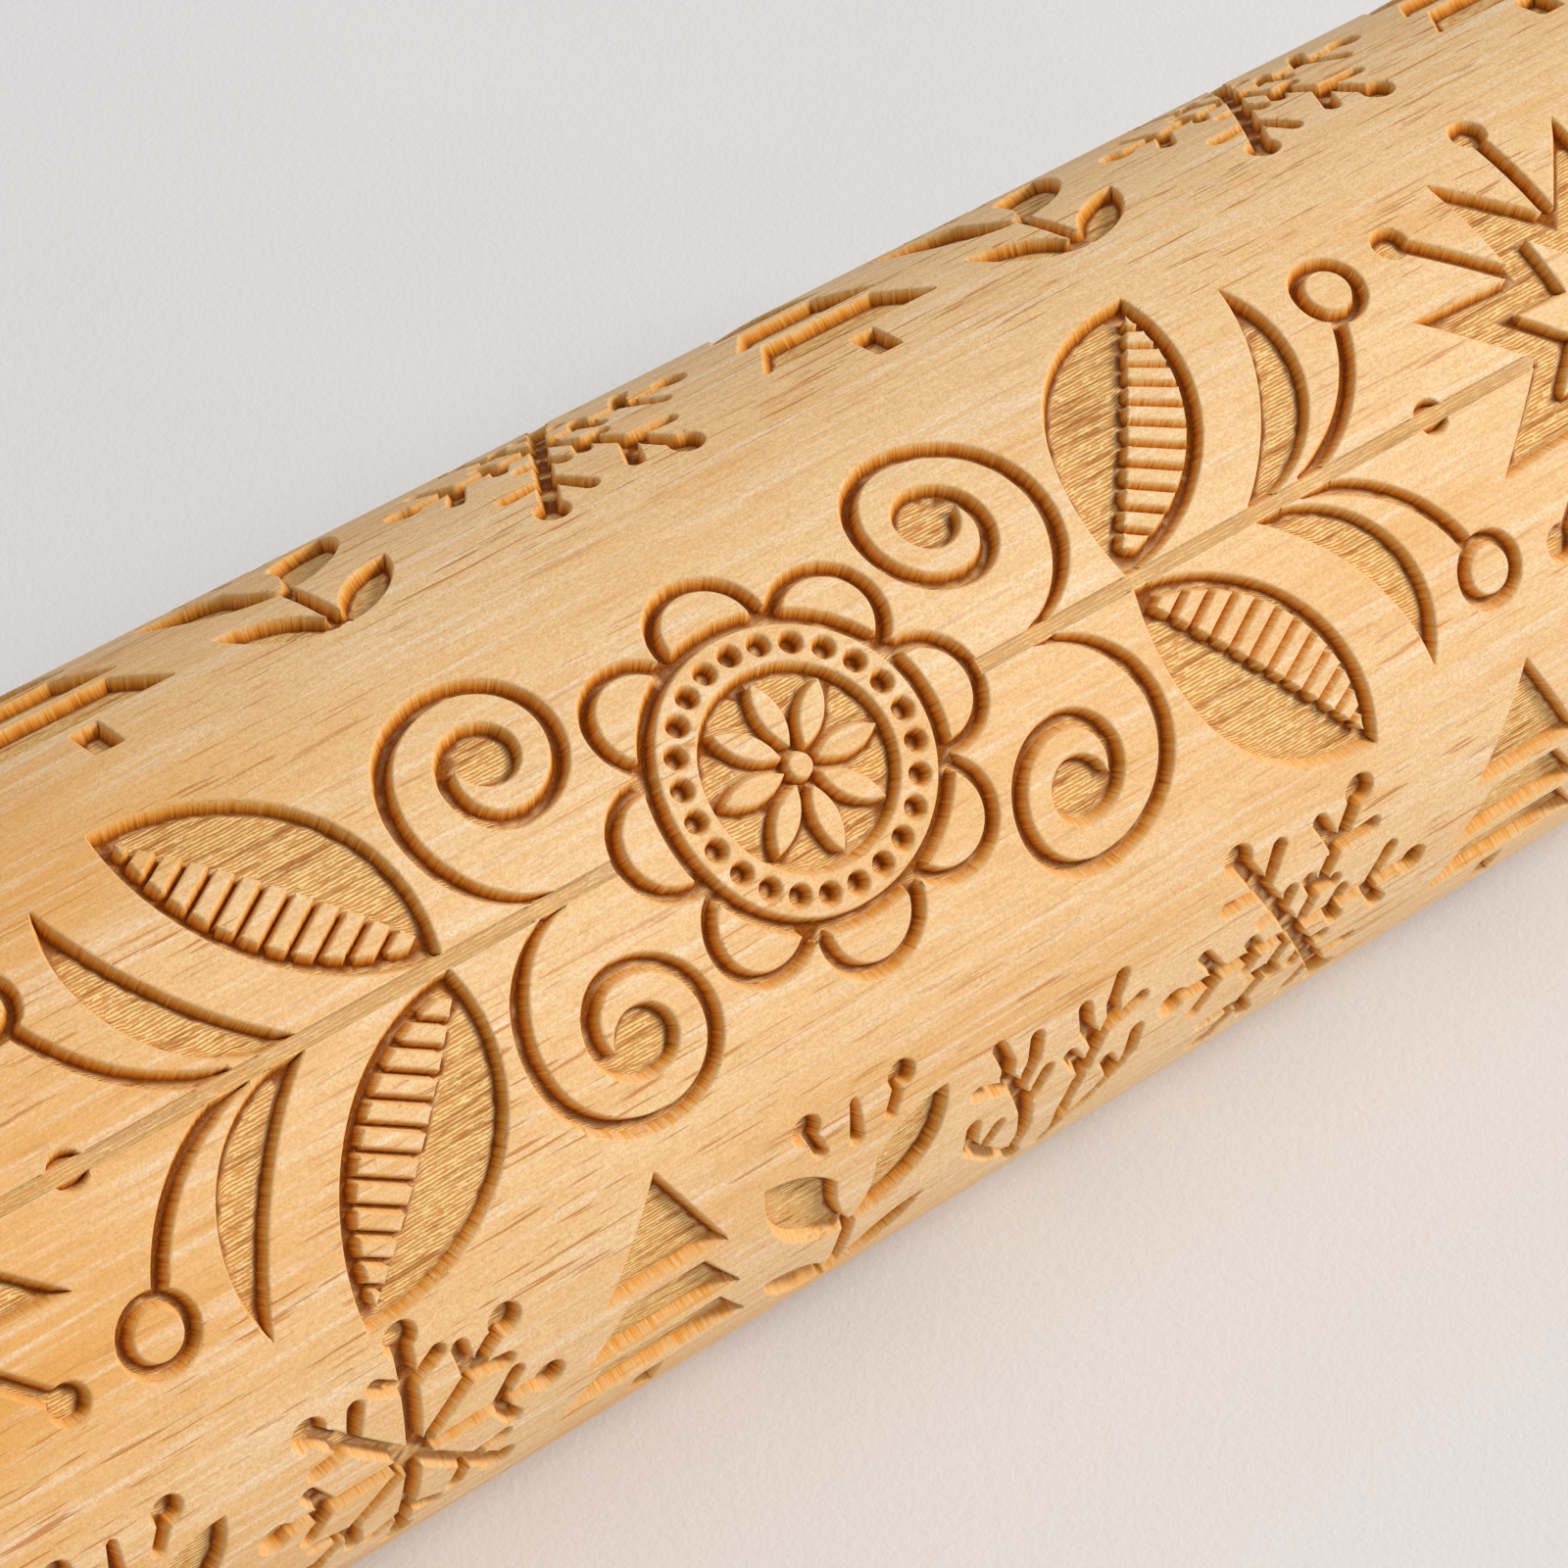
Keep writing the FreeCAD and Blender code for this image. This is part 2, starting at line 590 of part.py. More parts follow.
MAKERS_FOR_EACH_END = (
    make_bearing_cup,
    make_dust_cap,
    make_outer_race,
    make_inner_race,
    make_balls,
    make_cage,
    make_shields,
    make_circlip,
    make_spacer_sleeve,
    make_thrust_washer,
    make_handle,
    make_nut_washer,
    make_lock_nut,
    make_end_plug,
)


def check_document():
    """Stops if any object failed or any sub-part isn't a valid closed shape."""
    for thing in doc.Objects:
        if {"Invalid", "Error"} & set(thing.State):
            raise RuntimeError(f"{thing.Name} ({thing.Label}) failed: {thing.State}")
    for node in nodes:
        shape = node.Shape
        if shape.isNull() or not shape.isValid() or not shape.Solids:
            raise RuntimeError(f"{node.Label} has no valid solid")


make_barrel()
make_axle_rod()
for end_name, end_side in SIDES.items():
    for make in MAKERS_FOR_EACH_END:
        make(end_name, end_side)
doc.recompute()
check_document()

os.makedirs("parts", exist_ok=True)
for node in nodes:
    node.Shape.exportStep(f"parts/{node.Label}.step")
print(f"{len(nodes)} sub-parts written")
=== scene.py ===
"""Looks of the textured pattern roller, in metres and in the CAD frame: +X along the axle, +Z up, the
origin at the middle of the barrel. The barrel's relief is worked out as a distance field on the unrolled
cylinder, its outlines are traced, and the sheet that they divide is rolled up with walls between the land
and the floors."""

import json
import math

import bpy
import numpy as np
from mathutils import Matrix, Vector
from mathutils.geometry import delaunay_2d_cdt


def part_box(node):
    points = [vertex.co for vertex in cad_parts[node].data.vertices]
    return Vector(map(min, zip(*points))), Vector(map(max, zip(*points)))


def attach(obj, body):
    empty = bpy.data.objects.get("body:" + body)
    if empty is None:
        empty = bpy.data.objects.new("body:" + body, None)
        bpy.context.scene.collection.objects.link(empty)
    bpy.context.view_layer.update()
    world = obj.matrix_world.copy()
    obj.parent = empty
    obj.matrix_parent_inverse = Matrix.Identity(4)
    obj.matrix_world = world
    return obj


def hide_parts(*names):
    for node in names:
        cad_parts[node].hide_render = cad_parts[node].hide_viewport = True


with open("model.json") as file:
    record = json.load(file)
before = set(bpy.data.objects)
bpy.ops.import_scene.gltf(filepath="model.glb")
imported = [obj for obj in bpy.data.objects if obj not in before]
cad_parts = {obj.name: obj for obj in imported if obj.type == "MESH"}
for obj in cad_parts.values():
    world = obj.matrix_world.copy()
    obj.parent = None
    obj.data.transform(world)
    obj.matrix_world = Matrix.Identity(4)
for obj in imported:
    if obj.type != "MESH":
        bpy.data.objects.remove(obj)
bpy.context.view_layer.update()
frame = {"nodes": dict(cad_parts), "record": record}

MM = 0.001
TAU = 2 * math.pi

# ---------------------------------------------------------------- sizes of the relief, in millimetres
BARREL_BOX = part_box("barrel")
RADIUS = min(-BARREL_BOX[0].y, BARREL_BOX[1].y, -BARREL_BOX[0].z, BARREL_BOX[1].z) / MM
HALF_LENGTH = (BARREL_BOX[1].x - BARREL_BOX[0].x) / 2 / MM
AROUND = TAU * RADIUS
END_ROUNDING = 2
LAND_END = HALF_LENGTH - END_ROUNDING
PATTERN_END = 121
RELIEF_DEPTH = 0.95
LINE_DEPTH = 0.3
# A wall's foot stands this far inside its outline. Its rounded rim starts this far outside the outline and
# drops this much. It drops less where it has no room, or at the middle line.
WALL_WIDTH = 0.32
RIM_WIDTH = 0.18
RIM_DROP = 0.12
SHARP_RIM_DROP = 0.03
# How far the normals lean out from the barrel at a rim and at a foot.
RIM_LEAN = math.radians(46)
FOOT_LEAN = math.radians(66)
# Direction that the first rosette faces, from +Z towards -Y.
FACING = math.radians(38.2)

# The pattern repeats twice round the barrel. Each repeat is a main band, which reaches this far to each side
# of its middle line, between two borders. A border's motifs stand on its base and fill its strip.
REPEATS = 2
REPEAT = AROUND / REPEATS
MAIN_REACH = 20.5
UPPER_BASE = 24.5
LOWER_BASE = -41.7
BORDER_MIDDLE = 11.5
BORDER_REACH = 13.5
# What relief() gives far from every cut.
FAR = 9.0

# The distance from a rosette to the next star. The second repeat is shifted along the barrel by it.
STAR_AT = 73.5
LINE_HALF = 0.55

# The unrolled sheet starts on the plain strip between two borders. Its grid keeps the barrel round, and is
# finer on the floors. A finer lattice still is used to trace the outlines.
SEAM = 50.0
GRID_ALONG = 133
GRID_AROUND = 102
FLOOR_FINER = 3
TRACE_STEP = 0.3
# An outline that turns this much between two points has a corner there.
CORNER_TURN = math.radians(20)
# Points of the sheet that are nearer than this are merged, and a corner is this near its outline.
NEAREST = 0.02
# How near two places on the sheet have to be to be the same one.
SAME = 1e-4

COUNTERBORE_RADIUS = 15
COUNTERBORE_DEPTH = 10.5
BORE_RADIUS = 7
# Radii of two rings on the flat end, which keep its faces even.
END_RINGS = (24, 19.6)
SHARP_ANGLE = math.radians(30)

# Distance between the lines that the raster cutting left on the floors.
HATCH_PITCH = 0.27

# ---------------------------------------------------------------- distances on the unrolled barrel
# Every function below takes x along the axle and y round the barrel, in millimetres, and gives the distance
# to the edge of a cut: negative inside the cut, positive on the land that was left.

def disc(x, y, cx, cy, radius):
    return np.hypot(x - cx, y - cy) - radius


def band(distance, middle, half):
    """The strip within half of the line where distance equals middle."""
    return np.abs(distance - middle) - half


def stroke(x, y, start, end, half, half_end=None):
    """A straight round-ended cut, tapering from half to half_end."""
    half_end = half if half_end is None else half_end
    dx, dy = end[0] - start[0], end[1] - start[1]
    along = np.clip(((x - start[0]) * dx + (y - start[1]) * dy) / (dx * dx + dy * dy), 0, 1)
    away = np.hypot(x - start[0] - along * dx, y - start[1] - along * dy)
    return away - half - along * (half_end - half)


def arc_stroke(x, y, centre, radius, start, end, half, half_start=None):
    """A cut along an arc, anticlockwise from start to end degrees, which widens from half_start over its
    first third."""
    angle = np.degrees(np.arctan2(y - centre[1], x - centre[0]))
    middle, reach = (start + end) / 2, (end - start) / 2
    turn = (angle - middle + 180) % 360 - 180
    held = np.clip(turn, -reach, reach)
    near_x = centre[0] + radius * np.cos(np.radians(middle + held))
    near_y = centre[1] + radius * np.sin(np.radians(middle + held))
    width = half
    if half_start is not None:
        width = half_start + (half - half_start) * np.clip((held + reach) / reach * 1.5, 0, 1)
    return np.hypot(x - near_x, y - near_y) - width


def bulge_centre(a, b, rise):
    """Centre and radius of the circle through a and b whose arc rises by rise to the left of the way from a
    to b."""
    a, b = np.array(a), np.array(b)
    chord = b - a
    length = np.hypot(*chord)
    left = np.array([-chord[1], chord[0]]) / length
    radius = (length**2 / 4 + rise**2) / (2 * rise)
    return (a + b) / 2 + left * (rise - radius), radius


def bulge(x, y, a, b, rise):
    """Distance to the disc whose edge goes through a and b, rising by rise to the left of the way."""
    centre, radius = bulge_centre(a, b, rise)
    return disc(x, y, centre[0], centre[1], radius)


def lens(x, y, a, b, left, right):
    """A pointed leaf from a to b that swells by left and by right on its two sides."""
    return np.maximum(bulge(x, y, a, b, left), bulge(x, y, b, a, right))


def slanted(x, y, a, b):
    """Signed distance to the line from a to b, positive on its right."""
    dx, dy = b[0] - a[0], b[1] - a[1]
    return ((x - a[0]) * dy - (y - a[1]) * dx) / math.hypot(dx, dy)


def fold(x, y, count):
    """Folds the plane into half of one of count equal sectors. Returns the distance along the sector's
    middle line and the distance from it."""
    sector = TAU / count
    radius, angle = np.hypot(x, y), np.arctan2(y, x)
    off = np.abs((angle + sector / 2) % sector - sector / 2)
    return radius * np.cos(off), radius * np.sin(off)


def union(*cuts):
    return np.minimum.reduce(cuts)


def without(cut, *islands):
    """The cut with raised islands left standing in it."""
    return np.maximum.reduce([cut] + [-island for island in islands])


# ---------------------------------------------------------------- motifs of the main band

def rosette(x, y):
    """A ring of holes round an eight-petalled flower, with eight half-round scallops outside."""
    radius = np.hypot(x, y)
    along, across = fold(x, y, 8)
    petals = lens(along, across, (1.4, 0), (6.1, 0), 0.82, 0.82)
    flower = without(radius - 7.0, petals, radius - 0.85)
    hole_along, hole_across = fold(x, y, 24)
    holes = disc(hole_along, hole_across, 8.4, 0, 0.83)
    ring = band(radius, 10.35, 0.6)
    scallops = np.maximum(band(np.hypot(along - 10.6, across), 3.7, 0.57), 10 - radius)
    return union(flower, holes, ring, scallops)


def spiral(x, y):
    """Three half-circles of falling radius on one upright line, round a small pool."""
    line = 18.0
    outer = arc_stroke(x, y, (line, 8.0), 7.7, -84, 90, 0.66, half_start=0.2)
    middle = arc_stroke(x, y, (line, 10.65), 5.05, 90, 270, 0.62)
    inner = arc_stroke(x, y, (line, 8.9), 3.3, -90, 90, 0.66)
    pool = disc(x, y, line - 0.1, 10.4, 2.35)
    return union(outer, middle, inner, pool)


def ribbed_leaf(x, y):
    """A pointed leaf: one half a plain hollow, the other half crossed by ribs."""
    base, tip = (27.9, 0.4), (41.9, 18.5)
    leaf = lens(x, y, base, tip, 5.9, 5.1)
    rib_angle, rib_pitch, rib_half = math.radians(-31), 1.64, 0.53
    across_ribs = -x * math.sin(rib_angle) + y * math.cos(rib_angle)
    stripes = np.abs(across_ribs % rib_pitch - rib_pitch / 2) - rib_half
    inset = bulge(x, y, tip, base, 5.1) + 1.15
    vein = (28.6, 2.1), (40.9, 16.9)
    ribs = np.maximum.reduce([stripes, inset, -slanted(x, y, *vein), bulge(x, y, base, tip, 5.9) + 0.8])
    return without(leaf, ribs)


def crescent(x, y):
    base, tip = (38.3, 0.3), (48.0, 15.4)
    return without(bulge(x, y, tip, base, 5.2), bulge(x, y, tip, base, 1.7))


def berry_stem(x, y):
    """A curved stem that ends in a ring."""
    base, end = (41.0, 0.15), (53.5, 9.0)
    centre, radius = bulge_centre(end, base, 2.3)
    angles = [math.degrees(math.atan2(p[1] - centre[1], p[0] - centre[0])) for p in (base, end)]
    stem = arc_stroke(x, y, centre, radius, angles[0], angles[1], 0.58, half_start=0.2)
    ring = band(np.hypot(x - 54.6, y - 11.3), 2.27, 0.58)
    return union(stem, ring)


# Half the angle between two spikes of the star.
HALF_SPIKE = math.pi / 8


def star(x, y):
    """Eight hollow spikes round a smaller raised star, with a ball-tipped ray between each two."""
    along, across = fold(x, y, 8)
    spike_along = along * math.cos(HALF_SPIKE) + across * math.sin(HALF_SPIKE)
    spike_across = along * math.sin(HALF_SPIKE) - across * math.cos(HALF_SPIKE)
    spikes = pointed(spike_along, spike_across, 16.4, 8.2)
    raised = pointed(spike_along, spike_across, 8.3, 4.3)
    burst = without(spikes, raised)
    eye = np.hypot(x, y) - 1.5
    ray = union(stroke(along, across, (8.9, 0), (16.6, 0), 0.6, 0.66), disc(along, across, 17.3, 0, 1.4))
    # The middle line takes the place of the two rays that would lie along it.
    along_line = np.abs(y) < np.abs(x) * math.tan(HALF_SPIKE)
    return union(burst, eye, np.where(along_line, FAR, ray))


def pointed(along, across, tip, valley):
    """Distance to the side of a spike that runs from tip to the valley beside it."""
    foot = (valley * math.cos(HALF_SPIKE), valley * math.sin(HALF_SPIKE))
    return -slanted(along, np.abs(across), foot, (tip, 0))


def line_bead(x, y):
    """A round hole that the middle line crosses."""
    return disc(x, y, STAR_AT - 18.3, 0, 1.3)


def from_rosette(x):
    """Folds the place along a main band: the distance from the nearest rosette, up to the next star."""
    return np.abs((x + STAR_AT) % (2 * STAR_AT) - STAR_AT)


def main_band(x, y):
    """The main band, which is mirrored about each rosette, each star and the middle line."""
    x, y = from_rosette(x), np.abs(y)
    beside_line = union(spiral(x, y), ribbed_leaf(x, y), crescent(x, y), berry_stem(x, y), line_bead(x, y))
    return union(rosette(x, y), without(beside_line, y - LINE_HALF), star(x - STAR_AT, y))


def middle_line(x, y):
    """The shallow line along the middle of a main band, from the rosette's scallop into the star."""
    x = from_rosette(x)
    scallop, into_star = 14.1, 7.6
    return np.maximum.reduce([np.abs(y) - LINE_HALF, scallop - x, x - STAR_AT + into_star])


# ---------------------------------------------------------------- motifs of the border bands
# Each stands on the band's base line, y = 0, and is centred on x = 0.

def fir_tree(x, y):
    """Three tiers over a short square trunk."""
    x = np.abs(x)
    trunk = np.maximum.reduce([x - 1.1, -y, y - 3.2])
    low = tier(x, y, (7.6, 4.1), (4.7, 8.3))
    middle = tier(x, y, (6.2, 9.1), (3.1, 13.4))
    top = tier(x, y, (4.9, 14.3), (0, 22.9))
    return union(trunk, low, middle, top)


def tier(x, y, foot, head):
    return np.maximum.reduce([foot[1] - y, y - head[1], -slanted(x, y, head, foot)])


def tulip(x, y):
    """A cup of two petals round a raised bud, with three stamens, a stem and two leaves."""
    x = np.abs(x)
    leaf = lens(x, y, (0.1, 0.3), (6.7, 5.9), 1.6, 1.5)
    stem = stroke(x, y, (0, 1), (0, 8), 0.55)
    petal = lens(x, y, (0.2, 7.5), (7.6, 16.4), 2.6, 2.4)
    bud = lens(x, y, (0, 8.2), (0, 17.6), 1.7, 1.7)
    stamen = union(stroke(x, y, (2.9, 16.8), (3.7, 18.8), 0.5), disc(x, y, 3.95, 19.4, 1.15))
    pistil = stroke(x, y, (0, 16.4), (0, 19.4), 0.6, 0.35)
    return union(leaf, stem, without(petal, bud), stamen, pistil)


def snowflake(x, y, arms, reach, twigs):
    """Arms with ball tips. Each of twigs is where a pair of twigs leaves the arm, and how long it is."""
    along, across = fold(x, y, arms)
    cuts = [stroke(along, across, (0, 0), (reach - 1, 0), 0.6, 0.7), disc(along, across, reach, 0, 1.25)]
    twig_lean = math.radians(56)
    for start, length in twigs:
        end = (start + length * math.cos(twig_lean), length * math.sin(twig_lean))
        cuts.append(stroke(along, across, (start, 0), end, 0.56, 0.64))
    return union(*cuts)


def six_armed(x, y):
    return snowflake(x, y - 10.8, 6, 11.1, ((3.2, 1.7), (6.7, 3.4)))


def eight_armed(x, y):
    return snowflake(x, y - 11.4, 8, 10.4, ((6.3, 2.8),))


def twig_pair(x, y):
    """Two branching twigs that grow from one root and lean away from each other."""
    x = np.abs(x)
    trunk = (1.2, 1.0), (2.1, 2.7), (1.8, 5.7), (2.4, 8.7), (3.6, 11.7), (4.6, 13.2)
    branches = (
        ((2.1, 15.7), (2.3, 13.7), (3.4, 11.6)),
        ((5.4, 16.7), (4.6, 14.7), (4.8, 12.7)),
        ((7.2, 13.6), (4.6, 12.6)),
        ((1.0, 11.9), (1.9, 10.2), (2.8, 9.2)),
        ((7.2, 10.3), (7.1, 7.7), (5.9, 6.2), (3.9, 3.9), (2.2, 3.0)),
        ((4.8, 8.7), (5.8, 6.6)),
    )
    cuts = []
    for limb in (trunk, *branches):
        for start, end in zip(limb, limb[1:]):
            cuts.append(stroke(x, y, start, end, 0.6))
    return union(*cuts)


# Each border's motifs, with their places along it, and the pitch at which they repeat.
UPPER_PITCH = 62.75
UPPER_ROW = ((six_armed, 4.5), (fir_tree, 26.6), (tulip, 44.8))
LOWER_PITCH = 152
LOWER_ROW = (
    (eight_armed, -40.0), (fir_tree, -20.2), (tulip, -4.6), (twig_pair, 12.9), (six_armed, 34.4),
    (fir_tree, 56.1), (twig_pair, 73.5), (tulip, 90.5),
)


def border(x, y, row, pitch):
    """A row of motifs that repeats along the barrel."""
    cuts = []
    for motif, place in row:
        cuts.append(motif((x - place + pitch / 2) % pitch - pitch / 2, y))
    return union(*cuts)


# ---------------------------------------------------------------- the whole pattern
# s runs along the axle from the barrel's middle, and t round it from the first rosette, in millimetres.

def each_repeat(t):
    """Folds t into one repeat, and gives how far the main band is shifted along the barrel there."""
    middle = t + REPEAT / 2
    turn = np.floor(middle / REPEAT).astype(int) % REPEATS
    return middle % REPEAT - REPEAT / 2, turn * STAR_AT


def in_border(height):
    """Whether height over a border's base is in its strip."""
    return np.abs(height - BORDER_MIDDLE) < BORDER_REACH


def relief(s, t):
    """Distance to the nearest deep cut's edge: negative inside a cut."""
    t, shift = each_repeat(t)
    upper_y = np.where(t < 0, t + REPEAT, t) - UPPER_BASE
    lower_y = t - LOWER_BASE
    cut = np.full(s.shape, FAR)
    for inside, field in (
        (np.abs(t) < MAIN_REACH, lambda m: main_band(s[m] + shift[m], t[m])),
        (in_border(upper_y), lambda m: border(s[m], upper_y[m], UPPER_ROW, UPPER_PITCH)),
        (in_border(lower_y), lambda m: border(s[m], lower_y[m], LOWER_ROW, LOWER_PITCH)),
    ):
        cut[inside] = np.minimum(cut[inside], field(inside))
    return np.maximum(cut, np.abs(s) - PATTERN_END)


def shallow(s, t):
    """Distance to the edge of the middle line."""
    t, shift = each_repeat(t)
    return np.maximum(middle_line(s + shift, t), np.abs(s) - PATTERN_END)


def slope(field, s, t):
    """Unit gradient of a distance field."""
    step = 0.01
    ds = field(s + step, t) - field(s - step, t)
    dt = field(s, t + step) - field(s, t - step)
    size = np.maximum(np.hypot(ds, dt), 1e-9)
    return ds / size, dt / size


# ---------------------------------------------------------------- tracing the outlines

def trace(field):
    """Follows the outline where field is 0 through a fine lattice. Returns the outline's points and the pairs
    that its pieces join. The lattice is as long as the land and goes once round."""
    s_lines = np.linspace(-LAND_END, LAND_END, round(2 * LAND_END / TRACE_STEP) + 1)
    t_lines = np.linspace(0, AROUND, round(AROUND / TRACE_STEP) + 1) + SEAM
    s, t = np.meshgrid(s_lines, t_lines, indexing="ij")
    value = field(s, t)
    value[np.abs(value) < 1e-6] = 1e-6
    below = value < 0

    # One point for each lattice edge that the outline crosses: first the edges along s, then those along t.
    cross_s = below[:-1] != below[1:]
    cross_t = below[:, :-1] != below[:, 1:]
    number_s = np.full(cross_s.shape, -1)
    number_t = np.full(cross_t.shape, -1)
    number_s[cross_s] = np.arange(cross_s.sum())
    number_t[cross_t] = np.arange(cross_t.sum()) + cross_s.sum()
    # The points keep off the lattice's corners, where they would crowd.
    value_s, after_s = value[:-1][cross_s], value[1:][cross_s]
    value_t, after_t = value[:, :-1][cross_t], value[:, 1:][cross_t]
    share_s = np.clip(value_s / (value_s - after_s), 0.2, 0.8)
    share_t = np.clip(value_t / (value_t - after_t), 0.2, 0.8)
    step_s, step_t = s_lines[1] - s_lines[0], t_lines[1] - t_lines[0]
    points = np.concatenate([
        np.stack([s[:-1][cross_s] + share_s * step_s, t[:-1][cross_s]], 1),
        np.stack([s[:, :-1][cross_t], t[:, :-1][cross_t] + share_t * step_t], 1),
    ])

    # Each cell's four edges: low t, high t, low s, high s. Two are crossed, or all four at a saddle.
    edges = np.stack([number_s[:, :-1], number_s[:, 1:], number_t[:-1], number_t[1:]], -1).reshape(-1, 4)
    crossed = (edges >= 0).sum(1)
    pairs = np.sort(edges[crossed == 2], axis=1)[:, 2:]
    saddles = edges[crossed == 4]
    corner_below = below[:-1, :-1].reshape(-1)[crossed == 4]
    centre = field((s[:-1, :-1] + step_s / 2), (t[:-1, :-1] + step_t / 2)).reshape(-1)[crossed == 4]
    joined = corner_below == (centre < 0)
    low_low = np.where(joined[:, None], saddles[:, [0, 3]], saddles[:, [0, 2]])
    high_high = np.where(joined[:, None], saddles[:, [1, 2]], saddles[:, [1, 3]])
    return points, np.concatenate([pairs, low_low, high_high])


def sharpened(field, points, pairs):
    """Settles the outline's points on the field's zero, and puts a point at each corner that the lattice
    cut."""
    for _ in range(2):
        across_s, across_t = slope(field, points[:, 0], points[:, 1])
        move = np.clip(field(points[:, 0], points[:, 1]), -TRACE_STEP / 2, TRACE_STEP / 2)
        points = points - np.stack([across_s, across_t], 1) * move[:, None]
    across_s, across_t = slope(field, points[:, 0], points[:, 1])
    a, b = pairs[:, 0], pairs[:, 1]
    turn = across_s[a] * across_t[b] - across_t[a] * across_s[b]
    turned = np.abs(turn) > math.sin(CORNER_TURN)
    turn = np.where(turned, turn, 1)
    reach_a = points[a, 0] * across_s[a] + points[a, 1] * across_t[a]
    reach_b = points[b, 0] * across_s[b] + points[b, 1] * across_t[b]
    corner_s = (reach_a * across_t[b] - reach_b * across_t[a]) / turn
    corner_t = (reach_b * across_s[a] - reach_a * across_s[b]) / turn
    middle = (points[a] + points[b]) / 2
    near = np.hypot(corner_s - middle[:, 0], corner_t - middle[:, 1]) < 2 * TRACE_STEP
    on_both = np.abs(field(corner_s, corner_t)) < NEAREST
    found = turned & near & on_both
    number = len(points) + np.arange(found.sum())
    corners = np.stack([corner_s, corner_t], 1)[found]
    legs = np.concatenate([np.stack([a[found], number], 1), np.stack([number, b[found]], 1)])
    return np.concatenate([points, corners]), np.concatenate([pairs[~found], legs])


# ---------------------------------------------------------------- the sheet that the outlines divide

# The three levels, and the edge where a rim meets the steep part of its wall.
LAND, LINE, FLOOR, EDGE = 0, 1, 2, 3
LEVEL_DEPTH = (0, LINE_DEPTH, RELIEF_DEPTH)
# Nearest that a grid point comes to a deep cut's outline and to the middle line's.
CLEARANCE = 0.5
LINE_CLEARANCE = 0.3
# What each face corner is marked with, for the material: 0 on the land, EDGE_MARK at the top of a wall, up to
# 1 at the foot of a deep one, SHALLOW_FOOT at the foot of the middle line's, from 1 to FLOOR_MARK on a deep
# floor, and LINE_MARK on the middle line's.
# The nearer a mark comes to 1, the darker the colour: singeing, and painted shade deep in a cut.
EDGE_MARK = 0.15
SHALLOW_FOOT = 0.3
FLOOR_MARK = 2.0
LINE_MARK = 3.0
# Longest that a wall's step is at a corner, against its step along a straight outline.
MITRE_LIMIT = 1.3
# Cosine of the most that a wall turns at a point that isn't a corner.
SMOOTH = 0.97
# Walls that face this way, along and round, are painted lighter, as lit, and walls that face away keep
# their darker colour as painted shade. The lit ones are less singed by up to this share.
LIT_WAY = (0.6, 0.8)
LIT_SHARE = 0.75


def divided_sheet():
    """Triangles of the unrolled barrel, cut along every outline. Returns the points, the triangles and the
    level of each triangle."""
    deep_points, deep_pairs = sharpened(relief, *trace(relief))
    line_points, line_pairs = sharpened(shallow, *trace(shallow))
    apart = relief(line_points[:, 0], line_points[:, 1]) > -LINE_CLEARANCE
    kept = apart[line_pairs].all(1)
    line_pairs = line_pairs[kept]

    s, t = np.meshgrid(
        np.linspace(-LAND_END, LAND_END, GRID_ALONG + 1),
        np.linspace(0, AROUND, GRID_AROUND + 1) + SEAM, indexing="ij",
    )
    s, t = s.ravel(), t.ravel()
    rim = (np.abs(s) > LAND_END - SAME) | (t < SEAM + SAME) | (t > SEAM + AROUND - SAME)
    clear = (np.abs(relief(s, t)) > CLEARANCE) & (np.abs(shallow(s, t)) > LINE_CLEARANCE)
    grid = [np.stack([s, t], 1)[rim | clear]]
    # Floors have a finer grid, so that the singeing and painted shade at their walls' feet stay near the
    # walls.
    step_s, step_t = 2 * LAND_END / GRID_ALONG / FLOOR_FINER, AROUND / GRID_AROUND / FLOOR_FINER
    for i in range(FLOOR_FINER):
        for j in range(FLOOR_FINER):
            if i or j:
                deep = relief(s + i * step_s, t + j * step_t) < -CLEARANCE
                grid.append(np.stack([s + i * step_s, t + j * step_t], 1)[deep])
    grid = np.concatenate(grid)

    points = np.concatenate([deep_points, line_points, grid])
    pairs = np.concatenate([deep_pairs, line_pairs + len(deep_points)])
    used = np.zeros(len(points), bool)
    used[pairs.ravel()] = True
    used[-len(grid):] = True
    number = np.cumsum(used) - 1
    cut = delaunay_2d_cdt(
        [Vector(p) for p in points[used].tolist()], number[pairs].tolist(), [], 0, NEAREST,
    )
    points = np.array([tuple(p) for p in cut[0]])
    triangles = np.array(cut[2])
    middle = points[triangles].mean(1)
    level = np.full(len(triangles), LAND)
    level[shallow(middle[:, 0], middle[:, 1]) < 0] = LINE
    level[relief(middle[:, 0], middle[:, 1]) < 0] = FLOOR
    return points, triangles, level


def wall_edges(triangles, level):
    """Directed edges (a, b) of the higher triangle where it meets a lower one, with both levels."""
    a = triangles.ravel()
    b = np.roll(triangles, -1, axis=1).ravel()
    owner = np.repeat(level, 3)
    key = np.minimum(a, b).astype(np.int64) * (triangles.max() + 1) + np.maximum(a, b)
    order = np.argsort(key, kind="stable")
    first, second = order[:-1], order[1:]
    met = (key[first] == key[second]) & (owner[first] != owner[second])
    first, second = first[met], second[met]
    swap = owner[first] > owner[second]
    first, second = np.where(swap, second, first), np.where(swap, first, second)
    return a[first], b[first], owner[first], owner[second]


